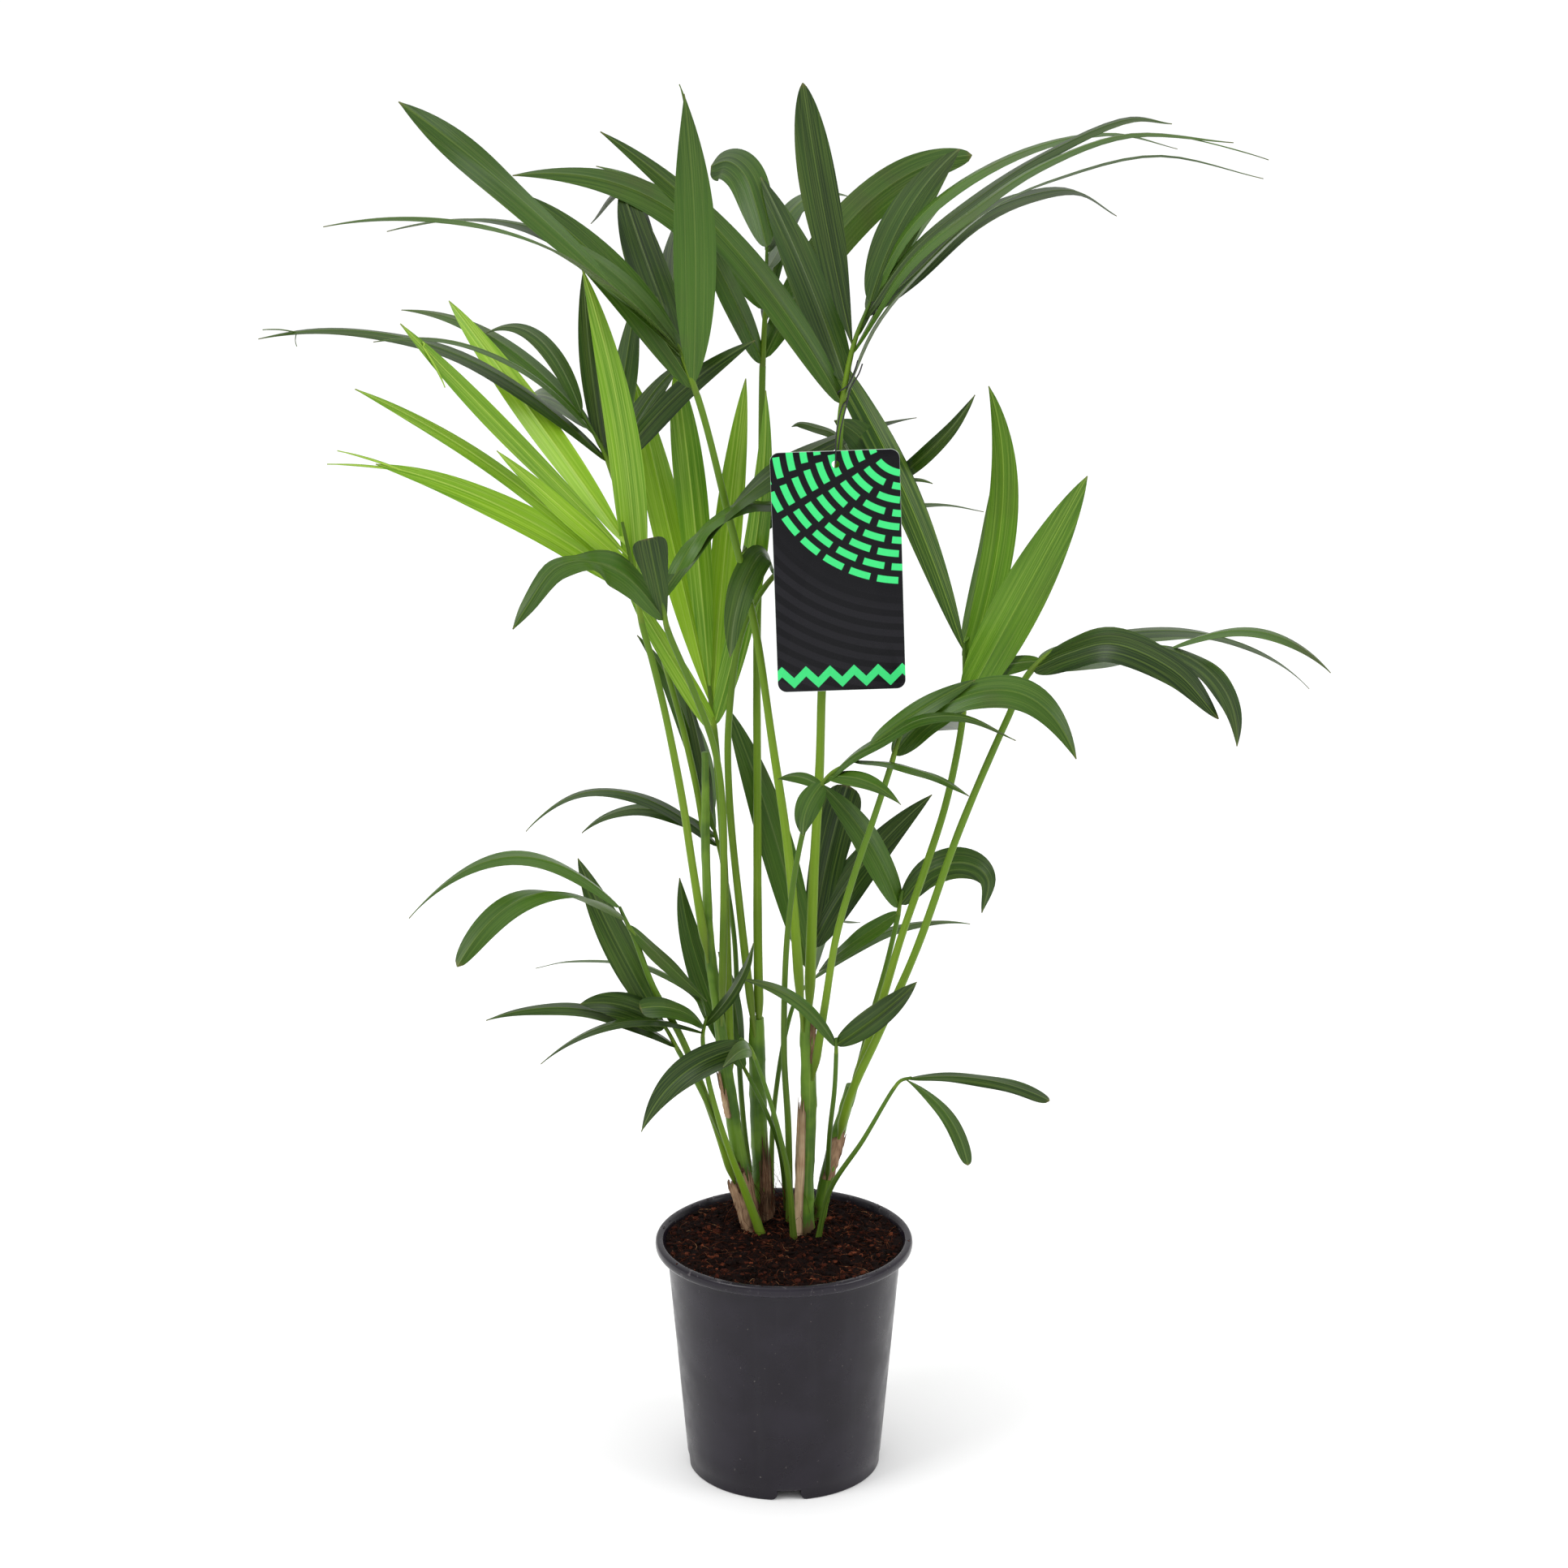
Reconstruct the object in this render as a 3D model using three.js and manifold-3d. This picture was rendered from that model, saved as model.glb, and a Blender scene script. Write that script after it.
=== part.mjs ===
// Potted kentia palm: a clump of seedlings on four main stems, in a round black nursery pot,
// with a hang tag wired to one leaf stalk.
// Millimetres, +Z up. The origin is the middle of the pot's underside, and the plant faces -Y.

import * as THREE from 'three';
import { mergeVertices } from 'three/addons/utils/BufferGeometryUtils.js';
import Module from 'manifold-3d';

const wasm = await Module();
wasm.setup();

// ---------------------------------------------------------------- driving dimensions

const GAP = 0.35; // clearance between two solids that touch
const BLADE_GAP = 0.55; // clearance where one leaflet passes another

// Pot
const RIM_RADIUS = 90;
const POT_HEIGHT = 170;
const FOOT_RADIUS = 67.8;
const WALL_TOP_RADIUS = 81.8; // just under the lip
const LIP_HEIGHT = 8;
const WALL = 1.6;
const FLOOR_BOTTOM = 7.5;
const FLOOR_TOP = 9.5;
const FOOT_RING_WIDTH = 8;
const HUB_RADIUS = 14;
const NOTCH_COUNT = 4;
const NOTCH_WIDTH = 16.5;
const NOTCH_TURN = 3; // degrees by which the front notch is off the middle
const DRAIN_COUNT = 8;
const DRAIN_RADIUS = 5;
const DRAIN_CIRCLE = 46;
const DRAIN_SIDES = 6;
const POT_SIDES = 28;

// Soil
const SOIL_EDGE = 164; // height at the rim
const SOIL_RADIUS = 81;
const SOIL_TOP = 168; // height of the flat middle, where the stems stand
const SOIL_FLAT_RADIUS = 62;

// Hang tag
const TAG = { wide: 85, tall: 162, thick: 0.8, corner: 6, hole: 2.6, tilt: 2 };
const TAG_HOLE_FROM_TOP = 9;
const TAG_HOLE_FROM_LEFT = 43;
const TAG_HOLE_PLACE = [34, 719, 17];
const TAG_CLEARANCE = 3.6; // depth of the space that the leaves keep free round the card
const WIRE_CLASP = [38.6, 766, 4]; // where the wire goes round the stalk
const WIRE_RADIUS = 0.5;

// Leaves
const BLADE_THICKNESS = 1.6; // at the midrib, falling to nothing at the two edges
const TIP_TAPER = 0.85; // power by which a leaflet narrows to its tip
const FOOT_SWELL = 0.5; // power by which it widens from its foot
const BOW_PLACE = 0.56;
const EDGE_HALF_WIDTH = 0.6; // at a leaflet's foot and tip
const RIB_TIP_RADIUS = 1.1;
const RIB_SIDES = 3;
const STALK_SIDES = 5;
const STEM_SIDES = 6;

// The plant is laid out on an upright sheet through the pot's axis, as seen from a standpoint in front.
// `out` is to the right, `high` is above the floor and `fore` is how far in front of the sheet a point lies,
// measured along its line of sight, so that a leaf's outline keeps its place when its depth changes.
const STANDPOINT_AHEAD = 2400;
const STANDPOINT_HIGH = 1200;
const FRONT = new THREE.Vector3(0, -1, 0);

function sight([out, high, fore]) {
  const share = fore / STANDPOINT_AHEAD;
  return new THREE.Vector3(out * (1 - share), -fore, high + (STANDPOINT_HIGH - high) * share);
}

// ---------------------------------------------------------------- stems, stalks and fronds

// Stems: points from the soil to the fork as [out, high, fore], with the radius at each end.
const STEMS = {
  left: {
    points: [
      [-21, 168, -26], [-27, 205, -26], [-36, 262, -26], [-46, 340, -26], [-52, 400, -26], [-53, 522, -26],
    ],
    radii: [6.5, 2.4],
    flare: 2.5,
  },
  dark: {
    points: [[-14, 172, -42], [-16, 220, -42], [-18, 270, -42], [-19, 332, -42]],
    radii: [7.0, 5.2],
    flare: 2.0,
  },
  middle: {
    points: [[14, 165, -18], [15, 215, -20], [17, 270, -22], [16, 335, -22]],
    radii: [6.6, 5.0],
    flare: 1.5,
  },
  right: {
    points: [[23, 172, -38], [28, 205, -36], [37, 245, -32], [47, 282, -28]],
    radii: [5.0, 4.4],
    flare: 1.5,
  },
};

// Fronds. `stalk` runs from the stem or the soil to the first leaflet, and `rib` goes on from there.
// A leaflet starts `at` a place along the rib (0 to 1) and ends at its `tip`. Its midrib bows up by `bow`,
// most of all at the share `late` of its length, or passes the places in `via`. It is `wide` at its widest.
// Its face turns by `turn` degrees (0 faces front, 90 faces up), and several values follow one another from
// its foot to its tip. `blunt` is the share of width left at a blunt tip, `swell` the power by which it
// widens from its foot and `taper` the one by which it narrows.
const FRONDS = {
  left_top: {
    radii: [3.2, 2.2],
    stalk: [[13, 322, -17], [3, 450, -10], [-8, 530, -6], [-20, 612, -7], [-38, 690, -3], [-57, 765, 20]],
    rib: [[-72, 803, 14], [-88, 832, 4]],
    leaflets: [
      {
        at: 0.30, tip: [-247, 955, 120], bow: 6, wide: 26, turn: [75, 58, 20],
        late: 0.62, swell: 1.3, taper: 0.95,
      },
      { at: 0.05, tip: [-177, 898, 20], bow: 12, wide: 26, turn: 25, late: 0.62 },
      { at: 0.35, tip: [-298, 875, 190], bow: 36, wide: 16, turn: 97 },
      { at: 0.40, tip: [-257, 872, 90], bow: 37, wide: 22, turn: [30, 125] },
      { at: 0.08, tip: [-64, 960, 75], bow: 4, wide: 28, turn: 10, swell: 0.75, taper: 1.05 },
      { at: 0.30, tip: [-105, 902, -50], bow: -1, wide: 27, turn: 25, swell: 0.9 },
      { at: 0.60, tip: [-125, 877, -80], bow: 22, wide: 14, turn: 60, via: [[-104, 899, -80]] },
      { at: 0.20, tip: [-58, 900, -170], bow: 12, wide: 24, turn: 25 },
    ],
  },
  centre_top: {
    radii: [3.2, 2.2],
    stalk: [
      [-17, 320, -40], [-18, 400, -44], [-18, 500, -50], [-18, 600, -54], [-15, 700, -56],
      [-14, 784, -58],
    ],
    rib: [[-12, 825, -60], [-11, 862, -64]],
    leaflets: [
      { at: 0.45, tip: [-175, 908, -40], bow: 30, wide: 24, turn: [30, 50] },
      { at: 0.55, tip: [-121, 914, -110], bow: 15, wide: 16, turn: 65 },
      { at: 0.02, tip: [-62, 884, -10], bow: 2, wide: 20, turn: 40 },
      {
        at: 1.00, tip: [-47, 914, -120], bow: 0, wide: 28, turn: 15, blunt: 0.5,
        via: [[-17, 886, -80], [-25, 908, -95], [-36, 917, -110]],
      },
      { at: 0.95, tip: [45, 893, -190], bow: 18, wide: 14, turn: 55 },
      { at: 0.05, tip: [121, 921, -120], bow: 26, wide: 27, turn: 15, blunt: 0.2, late: 0.68 },
      { at: 0.35, tip: [24, 905, -260], bow: 10, wide: 12, turn: 25 },
      { at: 0.80, tip: [-14, 880, -230], bow: 12, wide: 10, turn: 30 },
    ],
  },
  right_top: {
    radii: [3.6, 2.3],
    stalk: [[17, 325, -28], [20, 430, -22], [24, 510, -12], [26, 580, -4], [34, 680, 2], [38, 757, 4]],
    rib: [[46, 800, 2], [56, 826, -4]],
    leaflets: [
      { at: 0.45, tip: [12, 967, 20], bow: -2, wide: 24.5, turn: 10, swell: 1, taper: 0.7 },
      { at: 1.00, tip: [113, 925, -90], bow: 9, wide: 26, turn: 15, swell: 0.6 },
      {
        at: 0.75, tip: [249, 941, -40], bow: 22, wide: 18, turn: 70,
        via: [[82, 858, -14], [123, 892, -20], [165, 920, -28], [222, 944, -36]],
      },
      {
        at: 0.52, tip: [253, 925, -110], bow: 31, wide: 17, turn: 76,
        via: [[76, 866, -30], [108, 899, -55], [159, 925, -80], [211, 935, -100]],
      },
      {
        at: 0.38, tip: [289, 929, 20], bow: 31, wide: 18, turn: 78,
        via: [[82, 852, 2], [123, 886, 8], [165, 914, 12], [220, 934, 16]],
      },
      {
        at: 0.04, tip: [309, 906, 80], bow: 37, wide: 12, turn: 97,
        via: [[58, 809, 6], [89, 847, 20], [134, 887, 42], [178, 907, 54], [240, 921, 68]],
      },
      {
        at: 0.80, tip: [215, 882, -170], bow: 22, wide: 17, turn: 62, taper: 0.6,
        via: [[82, 842, -50], [119, 877, -90], [154, 894, -130], [188, 898, -155]],
      },
      { at: 0.02, tip: [-118, 936, 0], bow: 15, wide: 22, turn: 30 },
      { at: 0.18, tip: [-15, 907, -90], bow: 3, wide: 26, turn: 20 },
      { at: 0.90, tip: [110, 898, -240], bow: 8, wide: 14, turn: 40 },
    ],
  },
  left_dark: {
    radii: [2.4, 1.9],
    stalk: [
      [-50, 378, -31], [-55, 470, -46], [-66, 530, -50], [-85, 605, -46], [-98, 665, -42],
      [-113, 712, -38],
    ],
    rib: [[-119, 728, -38], [-133, 754, -40]],
    leaflets: [
      { at: 0.25, tip: [-343, 802, -40], bow: 35, wide: 20, turn: 75 },
      { at: 0.90, tip: [-249, 821, -130], bow: 16, wide: 16, turn: 60, late: 0.6 },
      { at: 0.70, tip: [-268, 800, -10], bow: 24, wide: 14, turn: 85 },
      { at: 1.00, tip: [-194, 806, -90], bow: 20, wide: 14, turn: 45, late: 0.75 },
      { at: 0.50, tip: [-130, 848, -80], bow: -2, wide: 15, turn: 20 },
      { at: 0.15, tip: [-96, 830, -130], bow: 0, wide: 19, turn: 20 },
      { at: 0.02, tip: [-66, 787, -60], bow: 6.5, wide: 18, turn: 35 },
      { at: 0.05, tip: [-19, 801, 0], bow: 8, wide: 18, turn: 35 },
      { at: 0.80, tip: [-172, 758, -190], bow: 14, wide: 14, turn: 40 },
    ],
  },
  right_upright: {
    radii: [2.9, 2.3],
    stalk: [[44, 268, -24], [67, 343, -2], [80, 390, 4], [97, 443, 6], [110, 488, 2], [120, 545, -4]],
    rib: [[121, 570, -8], [120, 598, -12]],
    leaflets: [
      { at: 0.60, tip: [134, 771, -40], bow: -16, wide: 22, turn: 20, late: 0.64 },
      { at: 0.20, tip: [200, 711, 50], bow: 0, wide: 32, turn: 10 },
      { at: 0.90, tip: [18, 811, -22], bow: 9, wide: 22, turn: [20, 38], swell: 0.75, taper: 0.75 },
      { at: 0.80, tip: [174, 668, -170], bow: -3, wide: 20, turn: 30 },
      { at: 1.00, tip: [136, 700, -130], bow: -4, wide: 14, turn: 30 },
    ],
  },
  left_young: {
    radii: [2.9, 2.2],
    stalk: [[-52, 372, -22], [-62, 440, -14], [-69, 490, -6], [-80, 550, 2], [-88, 585, 6], [-95, 612, 10]],
    rib: [[-99, 640, 18], [-107, 680, 26]],
    leaflets: [
      { at: 0.80, tip: [-218, 827, -100], bow: 1, wide: 20, turn: 20, swell: 0.75, taper: 0.8 },
      { at: 0.70, tip: [-250, 812, 120], bow: 0, wide: 14, turn: 35, swell: 0.9 },
      { at: 0.60, tip: [-189, 728, 100], bow: 0, wide: 13, turn: 40 },
      { at: 0.40, tip: [-281, 769, 90], bow: 11, wide: 12, turn: 45, swell: 0.8 },
      { at: 0.40, tip: [-269, 719, 10], bow: 11, wide: 21, turn: 35 },
      { at: 0.30, tip: [-131, 848, 30], bow: 8, wide: 22, turn: 15 },
    ],
  },
  centre_young: {
    radii: [2.8, 2.4],
    stalk: [[-37, 286, -31], [-38, 350, -38], [-41, 450, -40], [-44, 500, -40], [-47, 538, -40]],
    rib: [[-49, 556, -44], [-51, 580, -50]],
    leaflets: [
      { at: 0.45, tip: [-98, 775, -100], bow: 0, wide: 24, turn: 15, swell: 0.9, taper: 0.8 },
      { at: 0.60, tip: [-71, 782, -70], bow: 2, wide: 22, turn: 10, late: 0.62, swell: 1, taper: 0.75 },
      { at: 0.20, tip: [-25, 776, -100], bow: 2.5, wide: 20, turn: 10, late: 0.4, swell: 0.9, taper: 0.8 },
      { at: 0.05, tip: [-12, 768, -20], bow: -9, wide: 18, turn: 15 },
      { at: 0.95, tip: [-68, 715, -200], bow: 1, wide: 14, turn: 20 },
      { at: 0.70, tip: [-38, 690, -170], bow: 0, wide: 8, turn: 25 },
      { at: 0.00, tip: [-104, 636, -10], bow: 0, wide: 14, turn: 20, swell: 0.3, taper: 0.6 },
    ],
  },
  left_folded: {
    radii: [2.6, 2.1],
    stalk: [
      [-43, 326, -21], [-41, 420, -14], [-42, 490, -8], [-47, 525, 0], [-62, 568, 16], [-78, 608, 34],
    ],
    rib: [[-80, 620, 40], [-83, 632, 46]],
    leaflets: [
      {
        at: 0.20, tip: [-181, 607, 110], bow: 44, wide: 24, turn: [10, 15, 80, 68, 60],
        via: [
          [-98, 637, 50], [-112, 648, 66], [-127, 653, 78], [-141, 653, 88], [-154, 647, 96],
          [-171, 623, 106],
        ],
      },
      { at: 0.10, tip: [-90, 669, 70], bow: 0, wide: 27, turn: 5, blunt: 0.95, swell: 0.8, taper: 0.3 },
      { at: 0.90, tip: [87, 750, -50], bow: 24, wide: 22, turn: [20, 92, 55, 70, 80], swell: 0.7 },
      {
        at: 0.80, tip: [132, 687, -60], bow: 28, wide: 18, turn: [20, 90, 74, 82, 82],
        via: [[-62, 663, 30], [-50, 678, 22], [-26, 691, 6], [-8, 692, -6], [81, 692, -40], [107, 692, -50]],
      },
    ],
  },
  right_long: {
    radii: [3.2, 2.2],
    stalk: [
      [38, 243, -26], [46, 275, -12], [66, 322, 4], [90, 380, 18], [120, 470, 24], [150, 545, 24],
      [165, 578, 24],
    ],
    rib: [[190, 597, 26], [225, 600, 30], [258, 594, 34]],
    leaflets: [
      { at: 1.00, tip: [366, 577, 60], bow: 20, wide: 16, turn: 80 },
      { at: 0.35, tip: [352, 566, -60], bow: 24, wide: 18, turn: 86 },
      { at: 0.25, tip: [297, 598, -130], bow: 9, wide: 18, turn: 86 },
      { at: 0.92, tip: [305, 526, 100], bow: 16.5, wide: 18, turn: 42 },
      {
        at: 0.02, tip: [292, 545, 80], bow: 7, wide: 26, turn: [30, 42], taper: 0.7,
        via: [[192, 591, 42], [220, 597, 56], [262, 578, 70]],
      },
      { at: 0.08, tip: [228, 584, -150], bow: 6, wide: 20, turn: 55 },
      { at: 0.10, tip: [118, 561, -50], bow: 8, wide: 14, turn: 60 },
      { at: 0.60, tip: [270, 585, -200], bow: 2, wide: 18, turn: 88 },
    ],
  },
  behind_tag: {
    radii: [2.8, 2],
    stalk: [
      [-20, 318, -37], [-30, 410, -32], [-37, 490, -29], [-37, 545, -26], [-28, 605, -25],
      [-12, 637, -28],
    ],
    rib: [[20, 668, -36], [66, 704, -46]],
    leaflets: [
      {
        at: 0.12, tip: [-36, 588, 30], bow: 24, wide: 20, turn: 15, swell: 0.6,
        via: [[-14, 659, -12], [-26, 640, 4], [-33, 614, 18]],
      },
      { at: 1.00, tip: [125, 765, 40], bow: -5, wide: 11, turn: 30 },
      { at: 1.00, tip: [98, 706, -20], bow: 4, wide: 6, turn: 75 },
      { at: 0.97, tip: [33, 748, 0], bow: 9, wide: 26, turn: 15 },
      {
        at: 0.90, tip: [5, 744, -60], bow: 14, wide: 10, turn: 60,
        via: [[34, 738, -55], [21, 743, -58], [10, 746, -60]],
      },
      { at: 0.70, tip: [60, 640, -180], bow: 20, wide: 24, turn: 40 },
      { at: 0.50, tip: [20, 640, -190], bow: 22, wide: 24, turn: 40 },
      {
        at: 0.45, tip: [-28, 659, -30], bow: 12, wide: 14, turn: 20,
        via: [[0, 688, -42], [-16, 677, -38]],
      },
    ],
  },
  left_arching: {
    radii: [2.9, 2],
    stalk: [
      [-34, 208, -22], [-48, 255, -8], [-60, 290, 4], [-72, 320, 16], [-90, 355, 30], [-103, 392, 44],
    ],
    rib: [[-107, 400, 48], [-112, 412, 53]],
    leaflets: [
      { at: 1.00, tip: [-256, 404, 110], bow: 39, wide: 22, turn: [70, 90], taper: 1.3 },
      {
        at: 0.60, tip: [-224, 369, 130], bow: 35, wide: 21, turn: [118, 40],
        blunt: 0.3, swell: 0.7, taper: 1.3,
      },
      { at: 0.40, tip: [-53, 344, 10], bow: 0, wide: 14, turn: 62 },
    ],
  },
  left_low: {
    radii: [2.2, 1.7],
    stalk: [[-34, 222, -20], [-50, 262, 0], [-61, 286, 10], [-73, 308, 20]],
    rib: [[-80, 322, 22], [-90, 338, 24]],
    leaflets: [
      { at: 0.10, tip: [-205, 330, 62], bow: 17.5, wide: 20, turn: 82, taper: 1 },
      { at: 0.60, tip: [-140, 342, 50], bow: 7, wide: 22, turn: 45 },
      { at: 0.90, tip: [-140, 447, -20], bow: -2, wide: 22, turn: 15 },
      { at: 0.70, tip: [-112, 345, -120], bow: 6, wide: 18, turn: 50 },
    ],
  },
  left_lowest: {
    radii: [3.0, 1.5],
    stalk: [[-14, 165, -14], [-27, 203, -12], [-36, 228, -6], [-45, 256, 2], [-53, 290, 8], [-56, 318, 14]],
    rib: [[-55, 325, 14], [-53, 333, 13]],
    leaflets: [
      { at: 0.20, tip: [-168, 298, 90], bow: 19, wide: 16, turn: [82, 104], taper: 1 },
      { at: 0.50, tip: [-99, 339, 60], bow: 7, wide: 16, turn: 64, blunt: 0.5 },
      { at: 0.60, tip: [-21, 386, 40], bow: -5, wide: 11, turn: 55 },
      {
        at: 0.90, tip: [-170, 368, -60], bow: 22, wide: 11, turn: 98,
        via: [[-60, 349, 10], [-91, 368, -5], [-115, 373, -20], [-148, 373, -45]],
      },
    ],
  },
  front_drooping: {
    radii: [2.2, 1.4],
    stalk: [[7, 165, -6], [3, 215, 2], [-3, 245, 8], [-10, 272, 14], [-20, 302, 22]],
    rib: [[-24, 311, 26], [-30, 317, 30]],
    leaflets: [
      { at: 0.50, tip: [-99, 248, 90], bow: 14, wide: 21, turn: 25, taper: 1 },
      { at: 0.20, tip: [-42, 296, 70], bow: 8, wide: 12, turn: 40 },
    ],
  },
  upright_low: {
    radii: [1.9, 1.5],
    stalk: [[3, 176, -56], [-3, 235, -40], [-12, 262, -28], [-24, 288, -30]],
    rib: [[-28, 296, -36], [-32, 306, -44]],
    leaflets: [
      { at: 0.40, tip: [-71, 433, -56], bow: -7, wide: 20, turn: 20 },
      { at: 0.80, tip: [-45, 380, -62], bow: 4, wide: 12, turn: 35 },
    ],
  },
  right_small: {
    radii: [1.9, 1.5],
    stalk: [[30, 212, -30], [32, 250, -8], [35, 280, 0], [36, 306, 6]],
    rib: [[36, 311, 8], [36, 317, 10]],
    leaflets: [
      { at: 0.50, tip: [-29, 360, 30], bow: 10, wide: 10, turn: 35 },
      { at: 0.60, tip: [91, 358, 60], bow: -2, wide: 17, turn: 20 },
    ],
  },
  right_drooping: {
    radii: [2, 1.4],
    stalk: [[23, 163, -4], [32, 204, 2], [55, 242, 16], [76, 280, 28]],
    rib: [[81, 286, 32], [88, 288, 36]],
    leaflets: [
      { at: 0.80, tip: [184, 271, 70], bow: 8, wide: 14, turn: 74, blunt: 0.6, swell: 0.6, taper: 1.9 },
      { at: 0.70, tip: [128, 223, 110], bow: 9, wide: 12, turn: 55, blunt: 0.4, swell: 1, taper: 1.6 },
    ],
  },
  right_low: {
    radii: [2, 1.7],
    stalk: [[47, 276, -33], [60, 332, -34], [70, 370, -28], [78, 407, -24]],
    rib: [[79, 414, -24], [81, 424, -26]],
    leaflets: [
      { at: 0.30, tip: [24, 500, -36], bow: 7, wide: 22, turn: 35 },
      {
        at: 0.50, tip: [135, 408, -20], bow: 38, wide: 22, turn: 25,
        via: [[97, 436, -22], [116, 444, -20], [131, 441, -19], [139, 431, -19]],
      },
      { at: 0.05, tip: [24, 366, -70], bow: 2, wide: 14, turn: 50 },
      { at: 0.90, tip: [104, 440, -150], bow: 4, wide: 16, turn: 35 },
    ],
  },
  centre_dark: {
    radii: [2.4, 2],
    stalk: [[16, 326, -27], [17, 346, -38], [17, 366, -46]],
    rib: [[19, 380, -54], [22, 396, -62]],
    leaflets: [
      { at: 0.02, tip: [-38, 553, -66], bow: 5, wide: 25, turn: 20, swell: 0.6, taper: 0.8 },
      { at: 0.50, tip: [43, 499, -110], bow: 3, wide: 30, turn: 10, blunt: 0.7 },
      { at: 0.60, tip: [100, 492, -110], bow: 8, wide: 25, turn: 20, late: 0.45 },
      { at: 0.90, tip: [20, 460, -220], bow: 8, wide: 20, turn: 70 },
    ],
  },
  left_middle: {
    radii: [2, 1.7],
    stalk: [[-19, 186, -54], [-27, 245, -64], [-31, 300, -72], [-34, 390, -68], [-42, 445, -60]],
    rib: [[-46, 462, -58], [-50, 480, -59]],
    leaflets: [
      { at: 0.60, tip: [-98, 603, -76], bow: 10, wide: 17, turn: 50, late: 0.66 },
      { at: 0.90, tip: [-67, 566, -66], bow: 2, wide: 12, turn: 45 },
      { at: 0.30, tip: [-175, 466, -30], bow: 34, wide: 17, turn: [66, 95], late: 0.68, taper: 1 },
      { at: 0.50, tip: [-137, 465, -70], bow: 19, wide: 14, turn: 66, late: 0.6 },
      { at: 0.95, tip: [-60, 545, -180], bow: 2, wide: 12, turn: 25 },
    ],
  },
  right_arching: {
    radii: [2.8, 2.1],
    stalk: [[20, 286, -17], [28, 340, 0], [36, 392, 14], [48, 436, 24], [61, 476, 32], [72, 512, 38]],
    rib: [[77, 530, 42], [84, 546, 46]],
    leaflets: [
      { at: 0.70, tip: [197, 517, 70], bow: 38.5, wide: 23, turn: 35, late: 0.66, swell: 0.8 },
      { at: 0.20, tip: [132, 556, 20], bow: 10, wide: 22, turn: 40 },
      { at: 0.90, tip: [120, 538, -110], bow: 10, wide: 20, turn: 50 },
    ],
  },
  right_thin: {
    radii: [2.4, 1.7],
    stalk: [[4, 176, -32], [3, 250, -10], [0, 310, 2], [3, 400, 14], [14, 470, 26], [24, 496, 32]],
    rib: [[32, 507, 36], [45, 515, 42], [58, 526, 48]],
    leaflets: [
      { at: 0.10, tip: [13, 463, 60], bow: 4, wide: 17, turn: 10 },
      { at: 0.25, tip: [79, 485, 100], bow: 7, wide: 12, turn: 48, taper: 1 },
      { at: 0.70, tip: [125, 491, 90], bow: 6.5, wide: 15, turn: 86 },
      {
        at: 0.10, tip: [156, 530, 70], bow: 12.5, wide: 17, turn: 76, taper: 1,
        via: [[46, 519, 44], [67, 531, 52], [92, 545, 60], [122, 546, 66]],
      },
      { at: 1.00, tip: [128, 572, 50], bow: 3, wide: 16, turn: 40 },
      { at: 0.05, tip: [-4, 503, 10], bow: 4, wide: 10, turn: 60 },
    ],
  },
  back_low: {
    radii: [2, 1.5],
    stalk: [[-9, 178, -56], [-8, 250, -68], [-4, 290, -74], [1, 320, -78], [8, 345, -80]],
    rib: [[14, 354, -82], [22, 362, -86]],
    leaflets: [
      { at: 0.90, tip: [127, 400, -110], bow: 15, wide: 14, turn: 82 },
      {
        at: 0.60, tip: [52, 401, -200], bow: 14, wide: 12, turn: 94,
        via: [[31, 399, -190], [39, 402, -195]],
      },
      { at: 0.30, tip: [10, 378, -170], bow: 2, wide: 8, turn: 60 },
    ],
  },
};

// ---------------------------------------------------------------- helpers

// A three.js geometry as a solid that can be joined and cut.
function solidOf(geometry) {
  const bare = geometry.clone();
  bare.deleteAttribute('normal');
  bare.deleteAttribute('uv');
  const merged = mergeVertices(bare, 1e-5);
  return new wasm.Manifold(new wasm.Mesh({
    numProp: 3,
    vertProperties: Float32Array.from(merged.attributes.position.array),
    triVerts: Uint32Array.from(merged.index.array),
  }));
}

// A solid back as a three.js geometry.
function geometryOf(solid) {
  const mesh = solid.getMesh();
  const geometry = new THREE.BufferGeometry();
  geometry.setAttribute('position', new THREE.BufferAttribute(mesh.vertProperties, 3));
  geometry.setIndex(new THREE.BufferAttribute(mesh.triVerts, 1));
  geometry.computeVertexNormals();
  return geometry;
}

// The largest of the bodies that a cut leaves.
function largestBody(solid) {
  const bodies = solid.decompose();
  return bodies.reduce((best, body) => (body.volume() > best.volume() ? body : best));
}

function trimmed(solid, obstacles) {
  const rest = obstacles.reduce((kept, obstacle) => kept.subtract(obstacle), solid);
  return largestBody(rest);
}

// A point of a curve and its direction there, carried straight on past either end by `over`.
function stationOn(curve, place, over) {
  const point = curve.getPoint(place);
  const direction = curve.getTangent(place);
  return { point: point.addScaledVector(direction, over), direction };
}

// The place on a curve that lies a short distance past another place.
function placeAfter(curve, place, distance) {
  const step = 0.001;
  return place + (step * distance) / curve.getPoint(place).distanceTo(curve.getPoint(place + step));
}

// A point on the straight steps that a limb takes along its curve.
function chordPoint(curve, from, to, steps, share) {
  const step = Math.min(Math.floor(share * steps), steps - 1);
  const near = curve.getPoint(from + ((to - from) * step) / steps);
  const far = curve.getPoint(from + ((to - from) * (step + 1)) / steps);
  return near.lerp(far, share * steps - step);
}

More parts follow.
